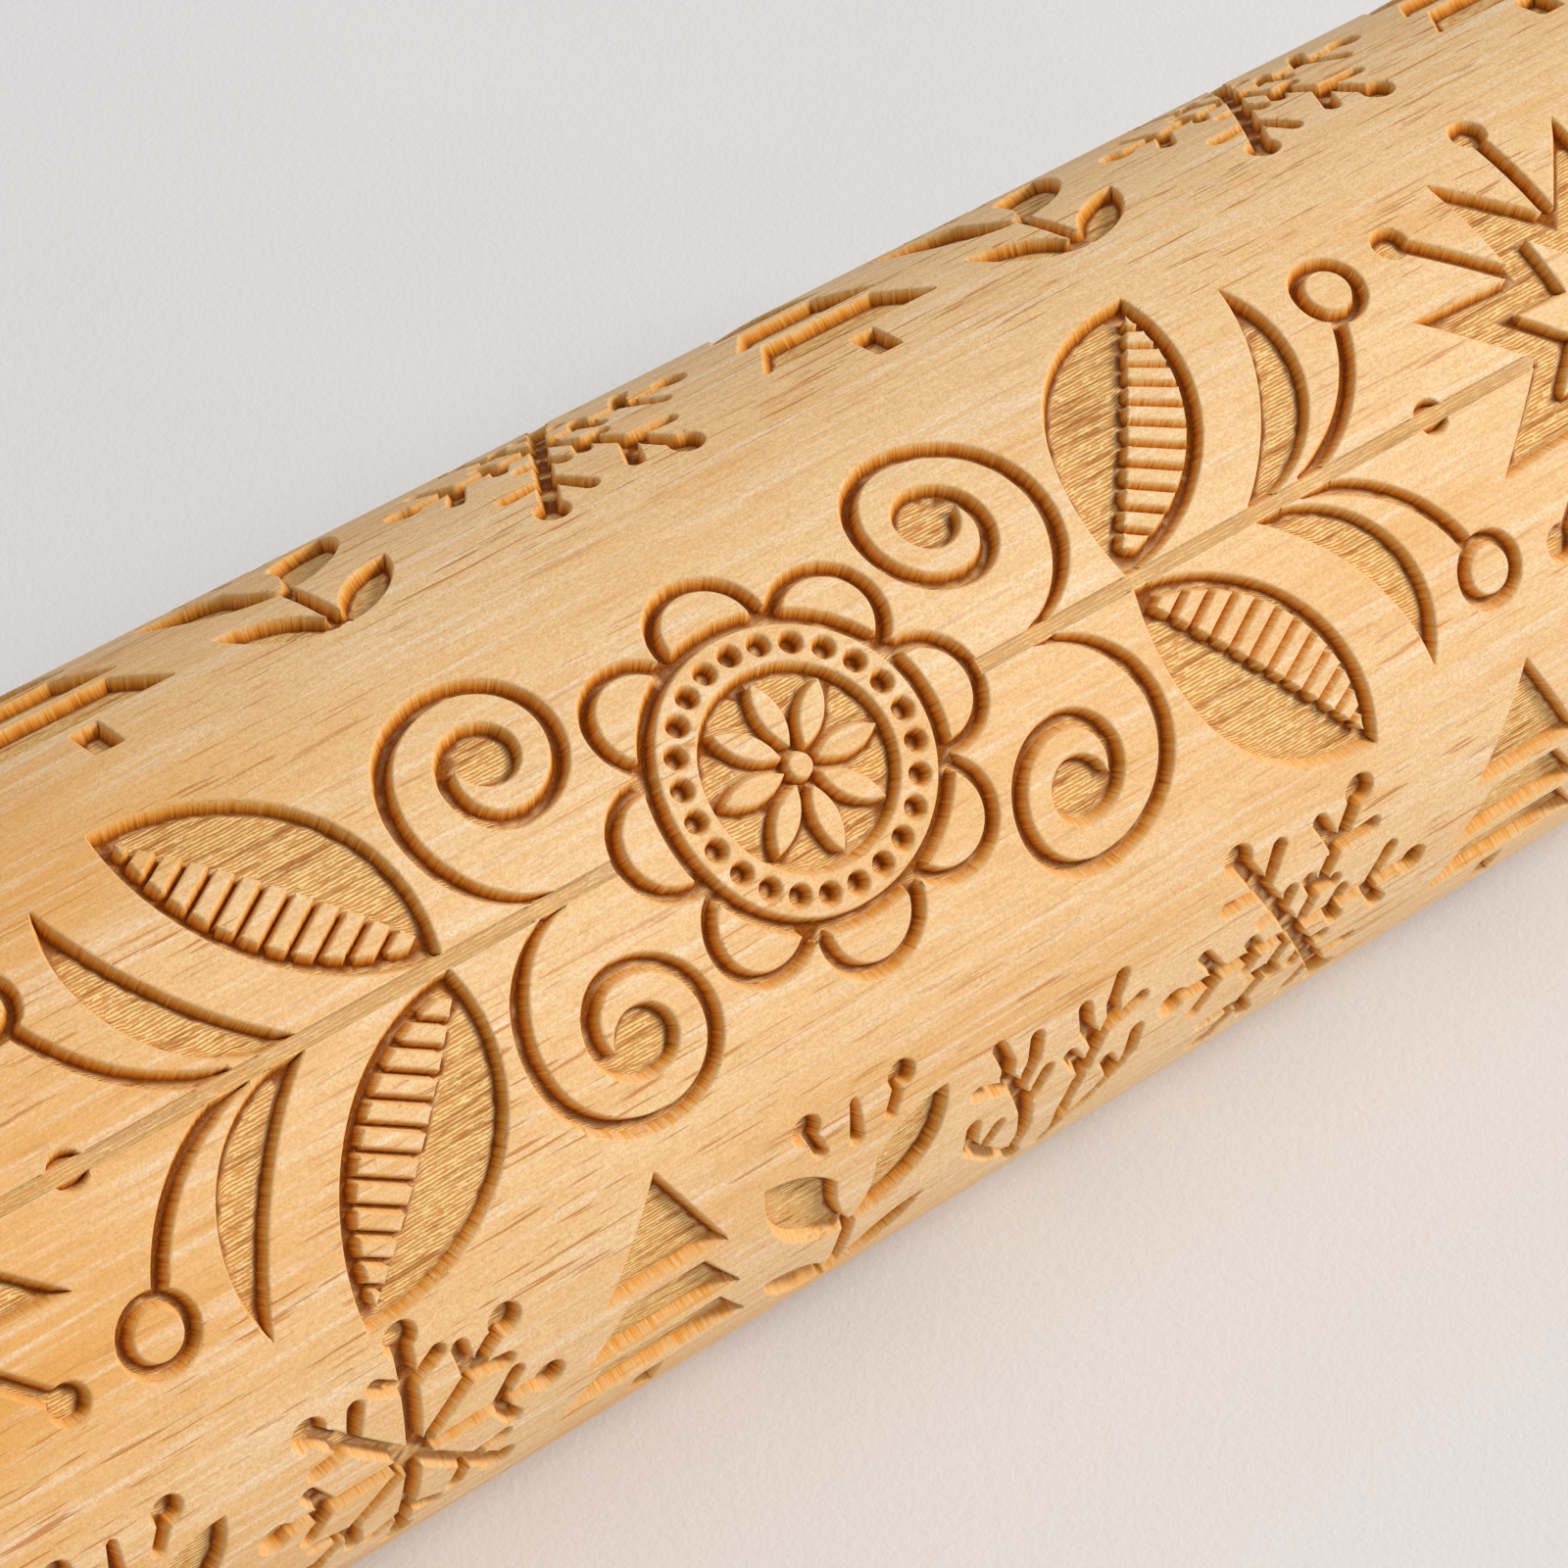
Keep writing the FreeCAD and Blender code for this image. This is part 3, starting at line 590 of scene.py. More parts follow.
def wall_directions(points, start, end, low):
    """Each outline point's way into the cut, longer at corners so that a wall keeps its width, up to
    MITRE_LIMIT."""
    way = points[end] - points[start]
    way /= np.maximum(np.hypot(way[:, 0], way[:, 1]), 1e-9)[:, None]
    # Triangles turn anticlockwise, so the lower side is on the right of the higher triangle's edge.
    inward = np.stack([way[:, 1], -way[:, 0]], 1)
    deep = low == FLOOR
    total = np.zeros_like(points)
    for point in (start, end):
        np.add.at(total, point[deep], inward[deep])
    size = np.maximum(np.hypot(total[:, 0], total[:, 1]), 1e-6)
    mitre = np.minimum(2 / size, MITRE_LIMIT)
    direction = total / size[:, None] * mitre[:, None]
    # Away from corners the field's own slope is smoother than the outline's pieces.
    downhill = -np.column_stack(slope(relief, points[:, 0], points[:, 1]))
    agree = (downhill * total).sum(1) > SMOOTH * size
    direction[agree] = downhill[agree]
    return direction


def roomy_step(points, direction, width, sign):
    """The largest share of width that each point can move and still be nearest its own outline, as a move.
    sign is -1 on the way into the cut and 1 on the way onto the land."""
    # There is room where the field at the end of the move, and a little beyond it, is about as large as the
    # move is long.
    share = np.zeros(len(points))
    for part in np.linspace(0.1, 1, 10):
        near = points - sign * direction * width * part
        beyond = points - sign * direction * width * part * 1.3
        roomy = sign * relief(near[:, 0], near[:, 1]) > 0.75 * part * width
        roomy &= sign * relief(beyond[:, 0], beyond[:, 1]) > 0.9 * part * width
        share[roomy] = part
    return -sign * direction * (share * width)[:, None]


def ease_folds(points, triangles, same, offset):
    """Shortens the moves of points that would turn a triangle over."""
    for _ in range(8):
        corner = points[triangles] + offset[same[triangles]]
        leg_a, leg_b = corner[:, 1] - corner[:, 0], corner[:, 2] - corner[:, 0]
        folded = leg_a[:, 0] * leg_b[:, 1] - leg_a[:, 1] * leg_b[:, 0] < 0
        offset[np.unique(same[triangles[folded]])] *= 0.75


def level_offsets(points, triangles, level, same, direction):
    """How far each outline point moves on each level, to leave room for the wall and its rounded rim."""
    on_wall = np.hypot(direction[:, 0], direction[:, 1]) > 0
    offset = {LAND: np.zeros_like(points), LINE: np.zeros_like(points), FLOOR: np.zeros_like(points)}
    offset[FLOOR][on_wall] = roomy_step(points[on_wall], direction[on_wall], WALL_WIDTH, -1)
    offset[LAND][on_wall] = roomy_step(points[on_wall], direction[on_wall], RIM_WIDTH, 1)
    for value in (LAND, FLOOR):
        ease_folds(points, triangles[level == value], same, offset[value])
    return offset


def rolled(s, t, radius):
    """The place on the barrel, in metres."""
    angle = FACING - t / RADIUS
    return np.stack([s, -radius * np.sin(angle), radius * np.cos(angle)], 1) * MM


def relief_mesh():
    """The land, the floors and the walls between them. Returns the sheet of points, the triangles, the walls'
    faces, the mark of each face corner, the unrolled points, and each one's number on the land."""
    points, triangles, level = divided_sheet()
    leg_a = points[triangles[:, 1]] - points[triangles[:, 0]]
    leg_b = points[triangles[:, 2]] - points[triangles[:, 0]]
    turned = leg_a[:, 0] * leg_b[:, 1] < leg_a[:, 1] * leg_b[:, 0]
    triangles[turned] = triangles[turned][:, ::-1]

    # The last row of grid points is the first one again.
    first_row = np.flatnonzero(points[:, 1] < SEAM + SAME)
    last_row = np.flatnonzero(points[:, 1] > SEAM + AROUND - SAME)
    same = np.arange(len(points))
    same[last_row[np.argsort(points[last_row, 0])]] = first_row[np.argsort(points[first_row, 0])]

    start, end, high, low = wall_edges(triangles, level)
    start, end = same[start], same[end]
    direction = wall_directions(points, start, end, low)
    offset = level_offsets(points, triangles, level, same, direction)

    sheet = Sheet()
    number = np.full((EDGE + 1, len(points)), -1)
    for value in (LAND, LINE, FLOOR):
        needed = np.zeros(len(points), bool)
        needed[same[triangles[level == value]].ravel()] = True
        who = np.flatnonzero(needed)
        moved = points[who] + offset[value][who]
        lean = 0.0 if value == LAND else FOOT_LEAN
        number[value, who] = sheet.add(points[who], moved, LEVEL_DEPTH[value], direction[who], lean)

    # Each wall goes down in two steps: a rounded rim, then the steep part.
    both = np.unique(np.concatenate([start, end]))
    edge_drop = np.where(np.hypot(*offset[LAND][both].T) > 0, RIM_DROP, SHARP_RIM_DROP)
    number[EDGE, both] = sheet.add(points[both], points[both], edge_drop, direction[both], RIM_LEAN)
    levels = number[level[:, None], same[triangles]]
    rim = high == LAND
    top = np.where(rim, EDGE, high)
    rims = np.stack([number[LAND, end], number[LAND, start], number[EDGE, start], number[EDGE, end]], 1)[rim]
    walls = np.stack([number[top, end], number[top, start], number[low, start], number[low, end]], 1)
    rim_marks = np.broadcast_to([0, 0, EDGE_MARK, EDGE_MARK], rims.shape)
    marks = np.concatenate([
        level_marks(points + offset[FLOOR], same[triangles], level).ravel(),
        rim_marks.ravel(),
        wall_marks(direction, start, end, low).ravel(),
    ])
    return sheet, levels, np.concatenate([rims, walls]), marks, points, number[LAND]


def level_marks(settled, triangles, level):
    """The marks of the level triangles' corners. Floors are darker near their walls, singed and with painted
    shade in the corner, least where the walls face the lit way.
    """
    away = -relief(settled[:, 0], settled[:, 1])
    downhill = -np.column_stack(slope(relief, settled[:, 0], settled[:, 1]))
    # 0 at a wall's foot, where singeing and painted shade are darkest, up to 1 a clearance away, or sooner at
    # walls that face the lit way.
    clear_of_char_and_shade = np.clip(np.maximum((away - CLEARANCE) / CLEARANCE, downhill @ LIT_WAY / 2), 0, 1)
    floor_marks = 1 + clear_of_char_and_shade * (FLOOR_MARK - 1)
    return np.select(
        [level[:, None] == LAND, level[:, None] == LINE], [0.0, LINE_MARK], floor_marks[triangles],
    )


def wall_marks(direction, start, end, low):
    """The marks of the walls' corners: two at the rim and two at the foot. The foot's mark is lower where the
    wall faces the lit way given at the top, which paints that wall lighter, as lit.
    """
    # clean is how far a wall faces the lit way: painted light on that side, painted shade on the other.
    clean = np.clip(direction @ LIT_WAY, 0, 1)
    foot = [np.where(low == FLOOR, 1 - LIT_SHARE * clean[point], SHALLOW_FOOT) for point in (start, end)]
    return np.stack([np.full(len(start), EDGE_MARK)] * 2 + foot, 1)


class Sheet:
    """The barrel's points, gathered part by part, with the normals that level faces and walls have there."""

    def __init__(self):
        self.places = []
        self.flat = []
        self.level_normals = []
        self.wall_normals = []
        self.count = 0

    def add(self, own, moved, depth, direction=None, lean=0.0):
        """Adds points at depth under the land. own is where each belongs on the unrolled pattern. A wall's
        normal leans towards direction, which is the way into the cut."""
        depth = np.broadcast_to(depth, len(own))
        self.places.append(rolled(moved[:, 0], moved[:, 1], RADIUS - depth))
        self.flat.append(own)
        angle = FACING - moved[:, 1] / RADIUS
        outward = np.column_stack([np.zeros(len(own)), -np.sin(angle), np.cos(angle)])
        self.level_normals.append(outward)
        if direction is not None:
            size = np.maximum(np.hypot(direction[:, 0], direction[:, 1]), 1e-6)
            along, around = direction[:, 0] / size, direction[:, 1] / size
            way = np.column_stack([along, around * np.cos(angle), around * np.sin(angle)])
            outward = outward * math.cos(lean) + way * math.sin(lean)
        self.wall_normals.append(outward)
        self.count += len(own)
        return np.arange(self.count - len(own), self.count)


# ---------------------------------------------------------------- barrel ends

def end_profile():
    """(s, radius) of each ring from the land's +X end, over the end and through the bore, to its -X end."""
    steps = 5
    side = []
    for step in range(1, steps + 1):
        angle = math.pi / 2 * step / steps
        drop = END_ROUNDING * (1 - math.cos(angle))
        side.append((LAND_END + END_ROUNDING * math.sin(angle), RADIUS - drop))
    for radius in (*END_RINGS, COUNTERBORE_RADIUS):
        side.append((HALF_LENGTH, radius))
    inner = HALF_LENGTH - COUNTERBORE_DEPTH
    side += [(inner, COUNTERBORE_RADIUS), (inner, BORE_RADIUS), (inner / 2, BORE_RADIUS)]
    return side + [(-s, radius) for s, radius in reversed(side)]


def barrel_mesh():
    """The barrel's points and faces, and for each face corner its unrolled coordinates with its mark, and
    its normal."""
    sheet, levels, walls, marks, points, land = relief_mesh()
    ring_t = np.arange(GRID_AROUND) / GRID_AROUND * AROUND + SEAM
    before_turn = points[:, 1] < SEAM + AROUND - SAME
    edges = []
    for end in (LAND_END, -LAND_END):
        ring = np.flatnonzero((np.abs(points[:, 0] - end) < SAME) & before_turn)
        edges.append(land[ring[np.argsort(points[ring, 1])]])
    rings = [edges[0]]
    for s, radius in end_profile():
        ring = np.column_stack([np.full(GRID_AROUND, s), ring_t])
        rings.append(sheet.add(ring, ring, RADIUS - radius))
    rings.append(edges[1])
    ends = np.concatenate([
        np.stack([ring, after, np.roll(after, -1), np.roll(ring, -1)], 1)
        for ring, after in zip(rings, rings[1:])
    ])
    faces = levels.tolist() + walls.tolist() + ends.tolist()
    # A normal of zero leaves that corner to the mesh's own smoothing.
    normals = np.concatenate([
        np.concatenate(sheet.level_normals)[levels.ravel()],
        np.concatenate(sheet.wall_normals)[walls.ravel()],
        np.zeros((ends.size, 3)),
    ])
    corners = np.concatenate([levels.ravel(), walls.ravel(), ends.ravel()])
    marks = np.concatenate([marks, np.zeros(ends.size)])
    unrolled = np.column_stack([np.concatenate(sheet.flat)[corners], marks])
    return np.concatenate(sheet.places), faces, unrolled, normals


def link(thing):
    """Puts an object in the scene."""
    bpy.context.scene.collection.objects.link(thing)
    return thing


def engraved_barrel():
    places, faces, unrolled, normals = barrel_mesh()
    mesh = bpy.data.meshes.new("engraved_barrel")
    mesh.from_pydata(places.tolist(), [], faces)
    attribute = mesh.attributes.new("unrolled", "FLOAT_VECTOR", "CORNER")
    attribute.data.foreach_set("vector", unrolled.astype(np.float32).ravel())
    mesh.polygons.foreach_set("use_smooth", np.ones(len(faces), bool))
    mesh.set_sharp_from_angle(angle=SHARP_ANGLE)
    mesh.normals_split_custom_set(normals.tolist())
    return link(bpy.data.objects.new("engraved_barrel", mesh))


# ---------------------------------------------------------------- building materials from nodes

def linear(red, green, blue):
    """A screen colour, 0 to 255, as the light that it stands for."""
    shares = [colour / 255 for colour in (red, green, blue)]
    return (*[c / 12.92 if c <= 0.04 else ((c + 0.055) / 1.055) ** 2.4 for c in shares], 1)


def material(name):
    """A new material, and its node tree and shader."""
    made = bpy.data.materials.new(name)
    made.use_nodes = True
    return made, made.node_tree, made.node_tree.nodes["Principled BSDF"]


def add(tree, kind, inputs, **settings):
    """Adds a node. Each input is a value or the output of another node."""
    node = tree.nodes.new(kind)
    for name, value in settings.items():
        setattr(node, name, value)
    for name, value in inputs.items():
        if isinstance(value, bpy.types.NodeSocket):
            tree.links.new(value, node.inputs[name])
        else:
            node.inputs[name].default_value = value
    return node


def calc(tree, operation, *values):
    """The result of a sum on numbers."""
    return add(tree, "ShaderNodeMath", dict(enumerate(values)), operation=operation).outputs[0]


def step(tree, value, low, high, start=0.0, end=1.0):
    """Goes smoothly from start to end while value goes from low to high."""
    inputs = {"Value": value, "From Min": low, "From Max": high, "To Min": start, "To Max": end}
    return add(tree, "ShaderNodeMapRange", inputs, interpolation_type="SMOOTHSTEP").outputs[0]


def blend(tree, share, a, b):
    """Colour a turning into b as share goes from 0 to 1."""
    return add(tree, "ShaderNodeMix", {0: share, 6: a, 7: b}, data_type="RGBA").outputs[2]


def stretched(tree, point, along, around, offset=0.0):
    """The point scaled to along on X and around on Y and Z, for noise that is drawn out along the grain."""
    return add(
        tree, "ShaderNodeMapping",
        {"Vector": point, "Location": (offset, offset, offset), "Scale": (along, around, around)},
    ).outputs[0]


def scaled(tree, point, x, y):
    """The point on the unrolled pattern scaled to x along and y round, for the same use."""
    return add(tree, "ShaderNodeMapping", {"Vector": point, "Scale": (x, y, 1.0)}).outputs[0]


def noise(tree, point, scale=1.0, detail=2.0, roughness=0.5):
    inputs = {"Vector": point, "Scale": scale, "Detail": detail, "Roughness": roughness}
    return add(tree, "ShaderNodeTexNoise", inputs).outputs["Fac"]


def place_mm(tree):
    """The place on the object in millimetres."""
    place = add(tree, "ShaderNodeTexCoord", {}).outputs["Object"]
    return add(tree, "ShaderNodeVectorMath", {0: place, 3: 1 / MM}, operation="SCALE").outputs[0]


def set_inputs(tree, shader, **inputs):
    for name, value in inputs.items():
        name = name.replace("_", " ")
        if isinstance(value, bpy.types.NodeSocket):
            tree.links.new(value, shader.inputs[name])
        else:
            shader.inputs[name].default_value = value


def bump(tree, height, distance, strength=1.0):
    """The normal of a surface that stands out by height times distance."""
    inputs = {"Height": height, "Distance": distance, "Strength": strength}
    return add(tree, "ShaderNodeBump", inputs).outputs["Normal"]


# ---------------------------------------------------------------- wood

CREAM = linear(255, 241, 216)
PALE = linear(250, 217, 167)
TAN = linear(236, 176, 96)
FIBRE = linear(214, 152, 78)
PORE = linear(200, 124, 46)
RAISED_FLOOR = linear(255, 228, 156)
HATCHED_FLOOR = linear(214, 130, 42)
SCORCHED_FLOOR = linear(172, 96, 24)
LINE_FLOOR = linear(240, 182, 106)
BARE_WALL = linear(228, 180, 112)
# How burnt and shaded a wall is where each colour begins and where it is full, from lightly to deeply singed.
# The darker colours, towards the walls' feet and in narrow grooves, are also painted shade.
SINGED_AND_SHADED = (
    (0.08, 0.48, linear(234, 164, 68)),
    (0.3, 0.85, linear(204, 122, 26)),
    (0.65, 1.2, linear(148, 74, 3)),
)


def wood_grain(tree, point):
    """Pale wood with its grain along X. Returns its colour and how much of it is an open pore."""
    lengthwise = add(tree, "ShaderNodeSeparateXYZ", {0: point}).outputs["X"]
    figure = noise(tree, stretched(tree, point, 0.009, 0.055), 1.0, 3.0, 0.55)
    tone = calc(tree, "SUBTRACT", figure, calc(tree, "MULTIPLY", lengthwise, 0.0026))
    cream = noise(tree, stretched(tree, point, 0.05, 1.3, 200.0), 1.0, 3.0, 0.6)
    mottle = noise(tree, stretched(tree, point, 0.08, 0.22, 40.0), 1.0, 4.0, 0.6)
    fibre = noise(tree, stretched(tree, point, 0.12, 2.6, 80.0), 1.0, 5.0, 0.65)
    grain = noise(tree, stretched(tree, point, 2.0, 3.4, 20.0), 1.0, 2.0, 0.6)
    pore_line = noise(tree, stretched(tree, point, 0.13, 2.7, 120.0), 1.0, 2.0, 0.6)
    pore_zone = noise(tree, stretched(tree, point, 0.02, 0.12, 160.0), 1.0, 2.0)
    pore = calc(
        tree, "MULTIPLY", step(tree, pore_line, 0.59, 0.67), step(tree, pore_zone, 0.42, 0.64, 0.15, 1.0),
    )
    colour = blend(tree, step(tree, tone, 0.38, 0.78), PALE, TAN)
    colour = blend(tree, step(tree, mottle, 0.5, 0.8, 0.0, 0.4), colour, TAN)
    colour = blend(tree, step(tree, cream, 0.48, 0.7, 0.0, 0.6), colour, CREAM)
    colour = blend(tree, step(tree, fibre, 0.46, 0.76, 0.0, 0.38), colour, FIBRE)
    speck = noise(tree, stretched(tree, point, 4.0, 6.5, 60.0), 1.0, 3.0, 0.7)
    colour = blend(tree, step(tree, grain, 0.35, 0.7, 0.0, 0.26), colour, FIBRE)
    colour = blend(tree, step(tree, speck, 0.42, 0.66, 0.0, 0.4), colour, FIBRE)
    colour = blend(tree, calc(tree, "MULTIPLY", pore, 0.8), colour, PORE)
    return colour, pore


def cut_floor(tree, colour, flat, around, mark):
    """Floors: lines about a quarter of a millimetre apart, broken into dashes. The middle line's floor is
    plainer. Returns the colour, and how raised the wood is between the lines."""
    wander = noise(tree, scaled(tree, flat, 0.35, 0.5))
    across = calc(tree, "ADD", around, calc(tree, "MULTIPLY", wander, 0.25))
    lines = calc(tree, "SINE", calc(tree, "MULTIPLY", across, TAU / HATCH_PITCH))
    dashes = noise(tree, scaled(tree, flat, 1.0, 4.2), 1.0, 3.0, 0.7)
    hatch = step(tree, calc(tree, "ADD", calc(tree, "MULTIPLY", lines, 0.12), dashes), 0.38, 0.6)
    scorch = noise(tree, scaled(tree, flat, 0.14, 1.7), 1.0, 4.0, 0.65)
    floor = blend(tree, 0.7, colour, RAISED_FLOOR)
    floor = blend(tree, step(tree, hatch, 0.0, 1.0, 0.8, 0.0), floor, HATCHED_FLOOR)
    floor = blend(tree, step(tree, scorch, 0.5, 0.64, 0.0, 0.75), floor, SCORCHED_FLOOR)
    on_line = step(tree, mark, 2.2, 2.8, 0.0, 0.65)
    return blend(tree, on_line, floor, blend(tree, 0.4, colour, LINE_FLOOR)), hatch


def cut_wall(tree, colour, flat, mark):
    """Walls: streaks that keep their place on the outline all the way down, darker towards the foot, singed
    and with painted shade. A lower mark at a foot paints that wall lighter, as lit. Returns the colour, and
    how far each streak is from the mean."""
    streak = noise(tree, flat, 3.2, 4.0, 0.8)
    uneven = calc(tree, "SUBTRACT", streak, 0.5)
    # How singed and shaded each place is: darker towards the foot as painted shade, broken up by the streaks.
    burn_and_shade = calc(tree, "SUBTRACT", mark, calc(tree, "MULTIPLY", uneven, 1.7))
    wall = blend(tree, 0.5, colour, BARE_WALL)
    for low, high, char_and_shade in SINGED_AND_SHADED:
        wall = blend(tree, step(tree, burn_and_shade, low, high), wall, char_and_shade)
    return wall, uneven


def engraved_wood():
    """The barrel: sanded land, raster-cut floors and singed walls, with painted shade towards the walls'
    feet. The third value of "unrolled" is the mark that tells them apart."""
    made, tree, shader = material("engraved_wood_look")
    point = place_mm(tree)
    colour, pore = wood_grain(tree, point)

    unrolled = add(tree, "ShaderNodeAttribute", {}, attribute_name="unrolled").outputs["Vector"]
    parts = add(tree, "ShaderNodeSeparateXYZ", {0: unrolled})
    along, around, mark = (parts.outputs[axis] for axis in "XYZ")
    flat = add(tree, "ShaderNodeCombineXYZ", {"X": along, "Y": around}).outputs[0]
    floor = step(tree, mark, 1.02, 1.5)
    wall = calc(tree, "MULTIPLY", step(tree, mark, 0.02, 0.12), calc(tree, "SUBTRACT", 1.0, floor))
    floor_colour, hatch = cut_floor(tree, colour, flat, around, mark)
    wall_colour, uneven = cut_wall(tree, colour, flat, mark)
    mixed = blend(tree, floor, colour, floor_colour)
    mixed = blend(tree, wall, mixed, wall_colour)

    # Heights are in millimetres.
    fine = noise(tree, point, 5.0, 4.0, 0.7)
    height = calc(tree, "MULTIPLY", fine, 0.05)
    height = calc(tree, "SUBTRACT", height, calc(tree, "MULTIPLY", pore, 0.03))
    rough = calc(tree, "MULTIPLY", calc(tree, "SUBTRACT", hatch, 0.5), calc(tree, "MULTIPLY", floor, 0.05))
    ragged = calc(tree, "MULTIPLY", uneven, calc(tree, "MULTIPLY", calc(tree, "MULTIPLY", wall, mark), 0.24))
    height = calc(tree, "ADD", calc(tree, "ADD", height, rough), ragged)
    gloss = step(tree, fine, 0.3, 0.7, 0.5, 0.66)
    cut = calc(tree, "MAXIMUM", wall, floor)
    set_inputs(
        tree, shader, Base_Color=mixed, Roughness=calc(tree, "ADD", gloss, calc(tree, "MULTIPLY", cut, 0.25)),
        Normal=bump(tree, height, MM), Specular_IOR_Level=0.22,
    )
    return made


def handle_wood():
    """Turned wood, with faint tool rings round it."""
    made, tree, shader = material("handle_wood_look")
    point = place_mm(tree)
    shifted = add(tree, "ShaderNodeVectorMath", {0: point, 1: (900.0, 35.0, 12.0)}).outputs[0]
    colour, pore = wood_grain(tree, shifted)
    rings = noise(tree, stretched(tree, point, 2.2, 0.02), 1.0, 3.0, 0.6)
    colour = blend(tree, step(tree, rings, 0.45, 0.75, 0.0, 0.12), colour, FIBRE)
    fine = noise(tree, point, 5.0, 4.0, 0.7)
    height = calc(tree, "ADD", calc(tree, "MULTIPLY", fine, 0.04), calc(tree, "MULTIPLY", rings, 0.05))
    height = calc(tree, "SUBTRACT", height, calc(tree, "MULTIPLY", pore, 0.08))
    set_inputs(
        tree, shader, Base_Color=colour, Roughness=step(tree, fine, 0.3, 0.7, 0.42, 0.58),
        Normal=bump(tree, height, MM), Specular_IOR_Level=0.4,
    )
    return made


# ---------------------------------------------------------------- metals and plastics

def metal(name, bright, dull, roughness, brushed):
    """Metal with fine lines round the axle and small stains. brushed is the lines' height in millimetres."""
    made, tree, shader = material(name)
    point = place_mm(tree)
    lines = noise(tree, stretched(tree, point, 6.0, 0.05), 1.0, 3.0, 0.6)
    stain = noise(tree, point, 0.35, 4.0, 0.6)
    speck = noise(tree, point, 3.0, 3.0, 0.6)
    colour = blend(tree, step(tree, stain, 0.42, 0.72), bright, dull)
    colour = blend(tree, step(tree, lines, 0.5, 0.8, 0.0, 0.25), colour, dull)
    gloss = step(tree, calc(tree, "ADD", stain, calc(tree, "MULTIPLY", lines, 0.5)), 0.5, 1.0, *roughness)
    height = calc(tree, "ADD", calc(tree, "MULTIPLY", lines, brushed), calc(tree, "MULTIPLY", speck, 0.004))
    set_inputs(
        tree, shader, Base_Color=colour, Metallic=1.0, Roughness=gloss, Normal=bump(tree, height, MM),
    )
    return made


def plastic(name, clean, soiled, roughness):
    """Moulded plastic with a slightly mottled, finely pitted face."""
    made, tree, shader = material(name)
    point = place_mm(tree)
    cloud = noise(tree, point, 0.25, 4.0, 0.6)
    pits = noise(tree, point, 6.0, 2.0, 0.6)
    colour = blend(tree, step(tree, cloud, 0.4, 0.75), clean, soiled)
    colour = blend(tree, step(tree, pits, 0.55, 0.8, 0.0, 0.3), colour, soiled)
    set_inputs(
        tree, shader, Base_Color=colour, Roughness=step(tree, cloud, 0.3, 0.7, *roughness),
        Normal=bump(tree, pits, MM, 0.03),
    )
    return made


def finish_node(name, look):
    """Gives a CAD node its material through its object's slot."""
    slot = frame["nodes"][name].material_slots[0]
    slot.link = "OBJECT"
    slot.material = look


def finish_nodes():
    looks = {}
    for slot, bright, dull, roughness, brushed in (
        ("steel_rod", (206, 207, 210), (168, 168, 170), (0.2, 0.4), 0.01),
        ("bearing_steel", (222, 223, 226), (190, 190, 194), (0.1, 0.24), 0.004),
        ("spring_steel", (70, 70, 74), (46, 44, 44), (0.34, 0.5), 0.01),
        ("zinc_steel", (212, 214, 216), (176, 178, 176), (0.3, 0.48), 0.008),
    ):
        looks[slot] = metal(slot + "_look", linear(*bright), linear(*dull), roughness, brushed)
    for slot, clean, soiled, roughness in (
        ("acetal", (240, 237, 228), (222, 216, 202), (0.38, 0.52)),
        ("cage_nylon", (222, 204, 160), (198, 176, 130), (0.42, 0.56)),
    ):
        looks[slot] = plastic(slot + "_look", linear(*clean), linear(*soiled), roughness)
    looks["handle_wood"] = handle_wood()
    for part in frame["record"]["subparts"]:
        if part["material_slot"] in looks:
            finish_node(part["node"], looks[part["material_slot"]])


# ---------------------------------------------------------------- stage, light and camera

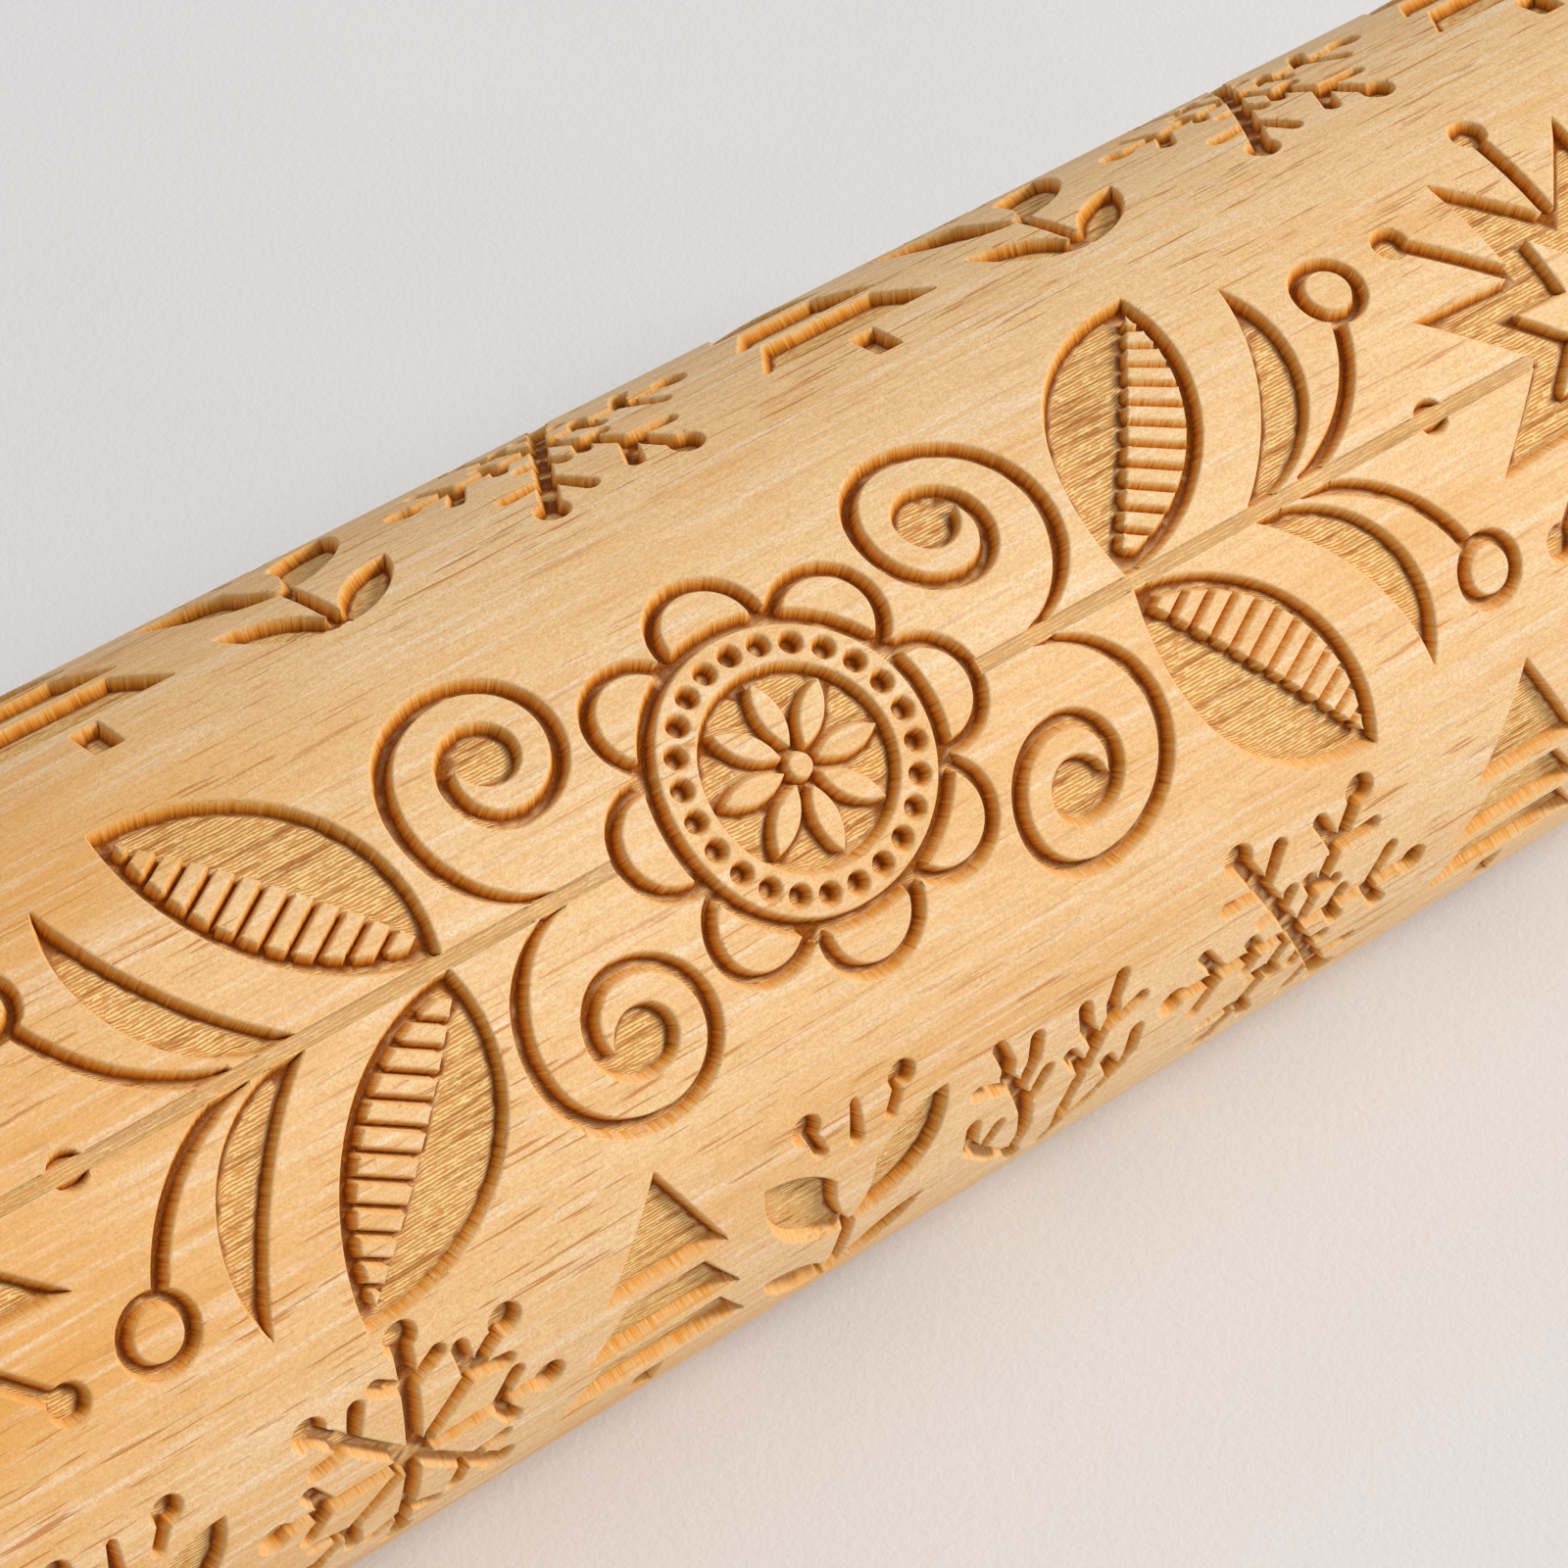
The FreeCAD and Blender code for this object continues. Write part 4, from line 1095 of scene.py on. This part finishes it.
def paper_look():
    """Matt paper with a faint tooth."""
    made, tree, shader = material("paper_look")
    point = place_mm(tree)
    cloud = noise(tree, point, 0.008, 3.0, 0.6)
    tooth = noise(tree, point, 1.4, 4.0, 0.7)
    colour = blend(tree, step(tree, cloud, 0.3, 0.7), linear(228, 231, 237), linear(232, 235, 241))
    set_inputs(
        tree, shader, Base_Color=colour, Roughness=step(tree, tooth, 0.3, 0.7, 0.8, 0.95),
        Normal=bump(tree, tooth, MM, 0.12),
    )
    return made


def make_floor():
    """A wide sheet of pale paper under the barrel."""
    half = 4.0
    gap = 0.05 * MM
    level = BARREL_BOX[0].z - gap
    mesh = bpy.data.meshes.new("floor")
    corners = [(-half, -half, level), (half, -half, level), (half, half, level), (-half, half, level)]
    mesh.from_pydata(corners, [], [(0, 1, 2, 3)])
    mesh.materials.append(paper_look())
    link(bpy.data.objects.new("floor", mesh))


def soft_light(name, place, size, power, colour):
    """A square soft box that faces the middle of the barrel."""
    data = bpy.data.lights.new(name, "AREA")
    data.size, data.energy, data.color = size, power, colour
    light = link(bpy.data.objects.new(name, data))
    light.location = place
    light.rotation_euler = (-Vector(place)).to_track_quat("-Z", "Y").to_euler()


def light_scene():
    world = bpy.data.worlds.new("studio")
    world.use_nodes = True
    bpy.context.scene.world = world
    sky = world.node_tree.nodes["Background"].inputs
    sky["Color"].default_value = (1.0, 0.965, 0.91, 1)
    sky["Strength"].default_value = 0.46
    soft_light("key", place=(1.7, -1.2, 1.5), size=0.6, power=52.0, colour=(1.0, 0.95, 0.9))
    bpy.context.scene.view_settings.view_transform = "Standard"


# Where the camera stands, in millimetres, the way that it looks and its long lens. It is held level.
CAMERA_PLACE = (-157.9, -210.1, 251.1)
CAMERA_FORWARD = (0.4648, 0.5690, -0.6784)
CAMERA_LENS = 122.8


def make_camera():
    data = bpy.data.cameras.new("camera")
    data.sensor_width = 36
    data.lens = CAMERA_LENS
    data.clip_start = 0.01
    camera = link(bpy.data.objects.new("camera", data))
    forward = Vector(CAMERA_FORWARD).normalized()
    right = forward.cross(Vector((0, 0, 1))).normalized()
    turn = Matrix((right, right.cross(forward), -forward)).transposed()
    camera.matrix_world = Matrix.Translation(Vector(CAMERA_PLACE) * MM) @ turn.to_4x4()
    bpy.context.scene.camera = camera


# ---------------------------------------------------------------- putting it together

barrel = engraved_barrel()
barrel.data.materials.append(engraved_wood())
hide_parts("barrel")
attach(barrel, "roller")
finish_nodes()
make_floor()
light_scene()
make_camera()
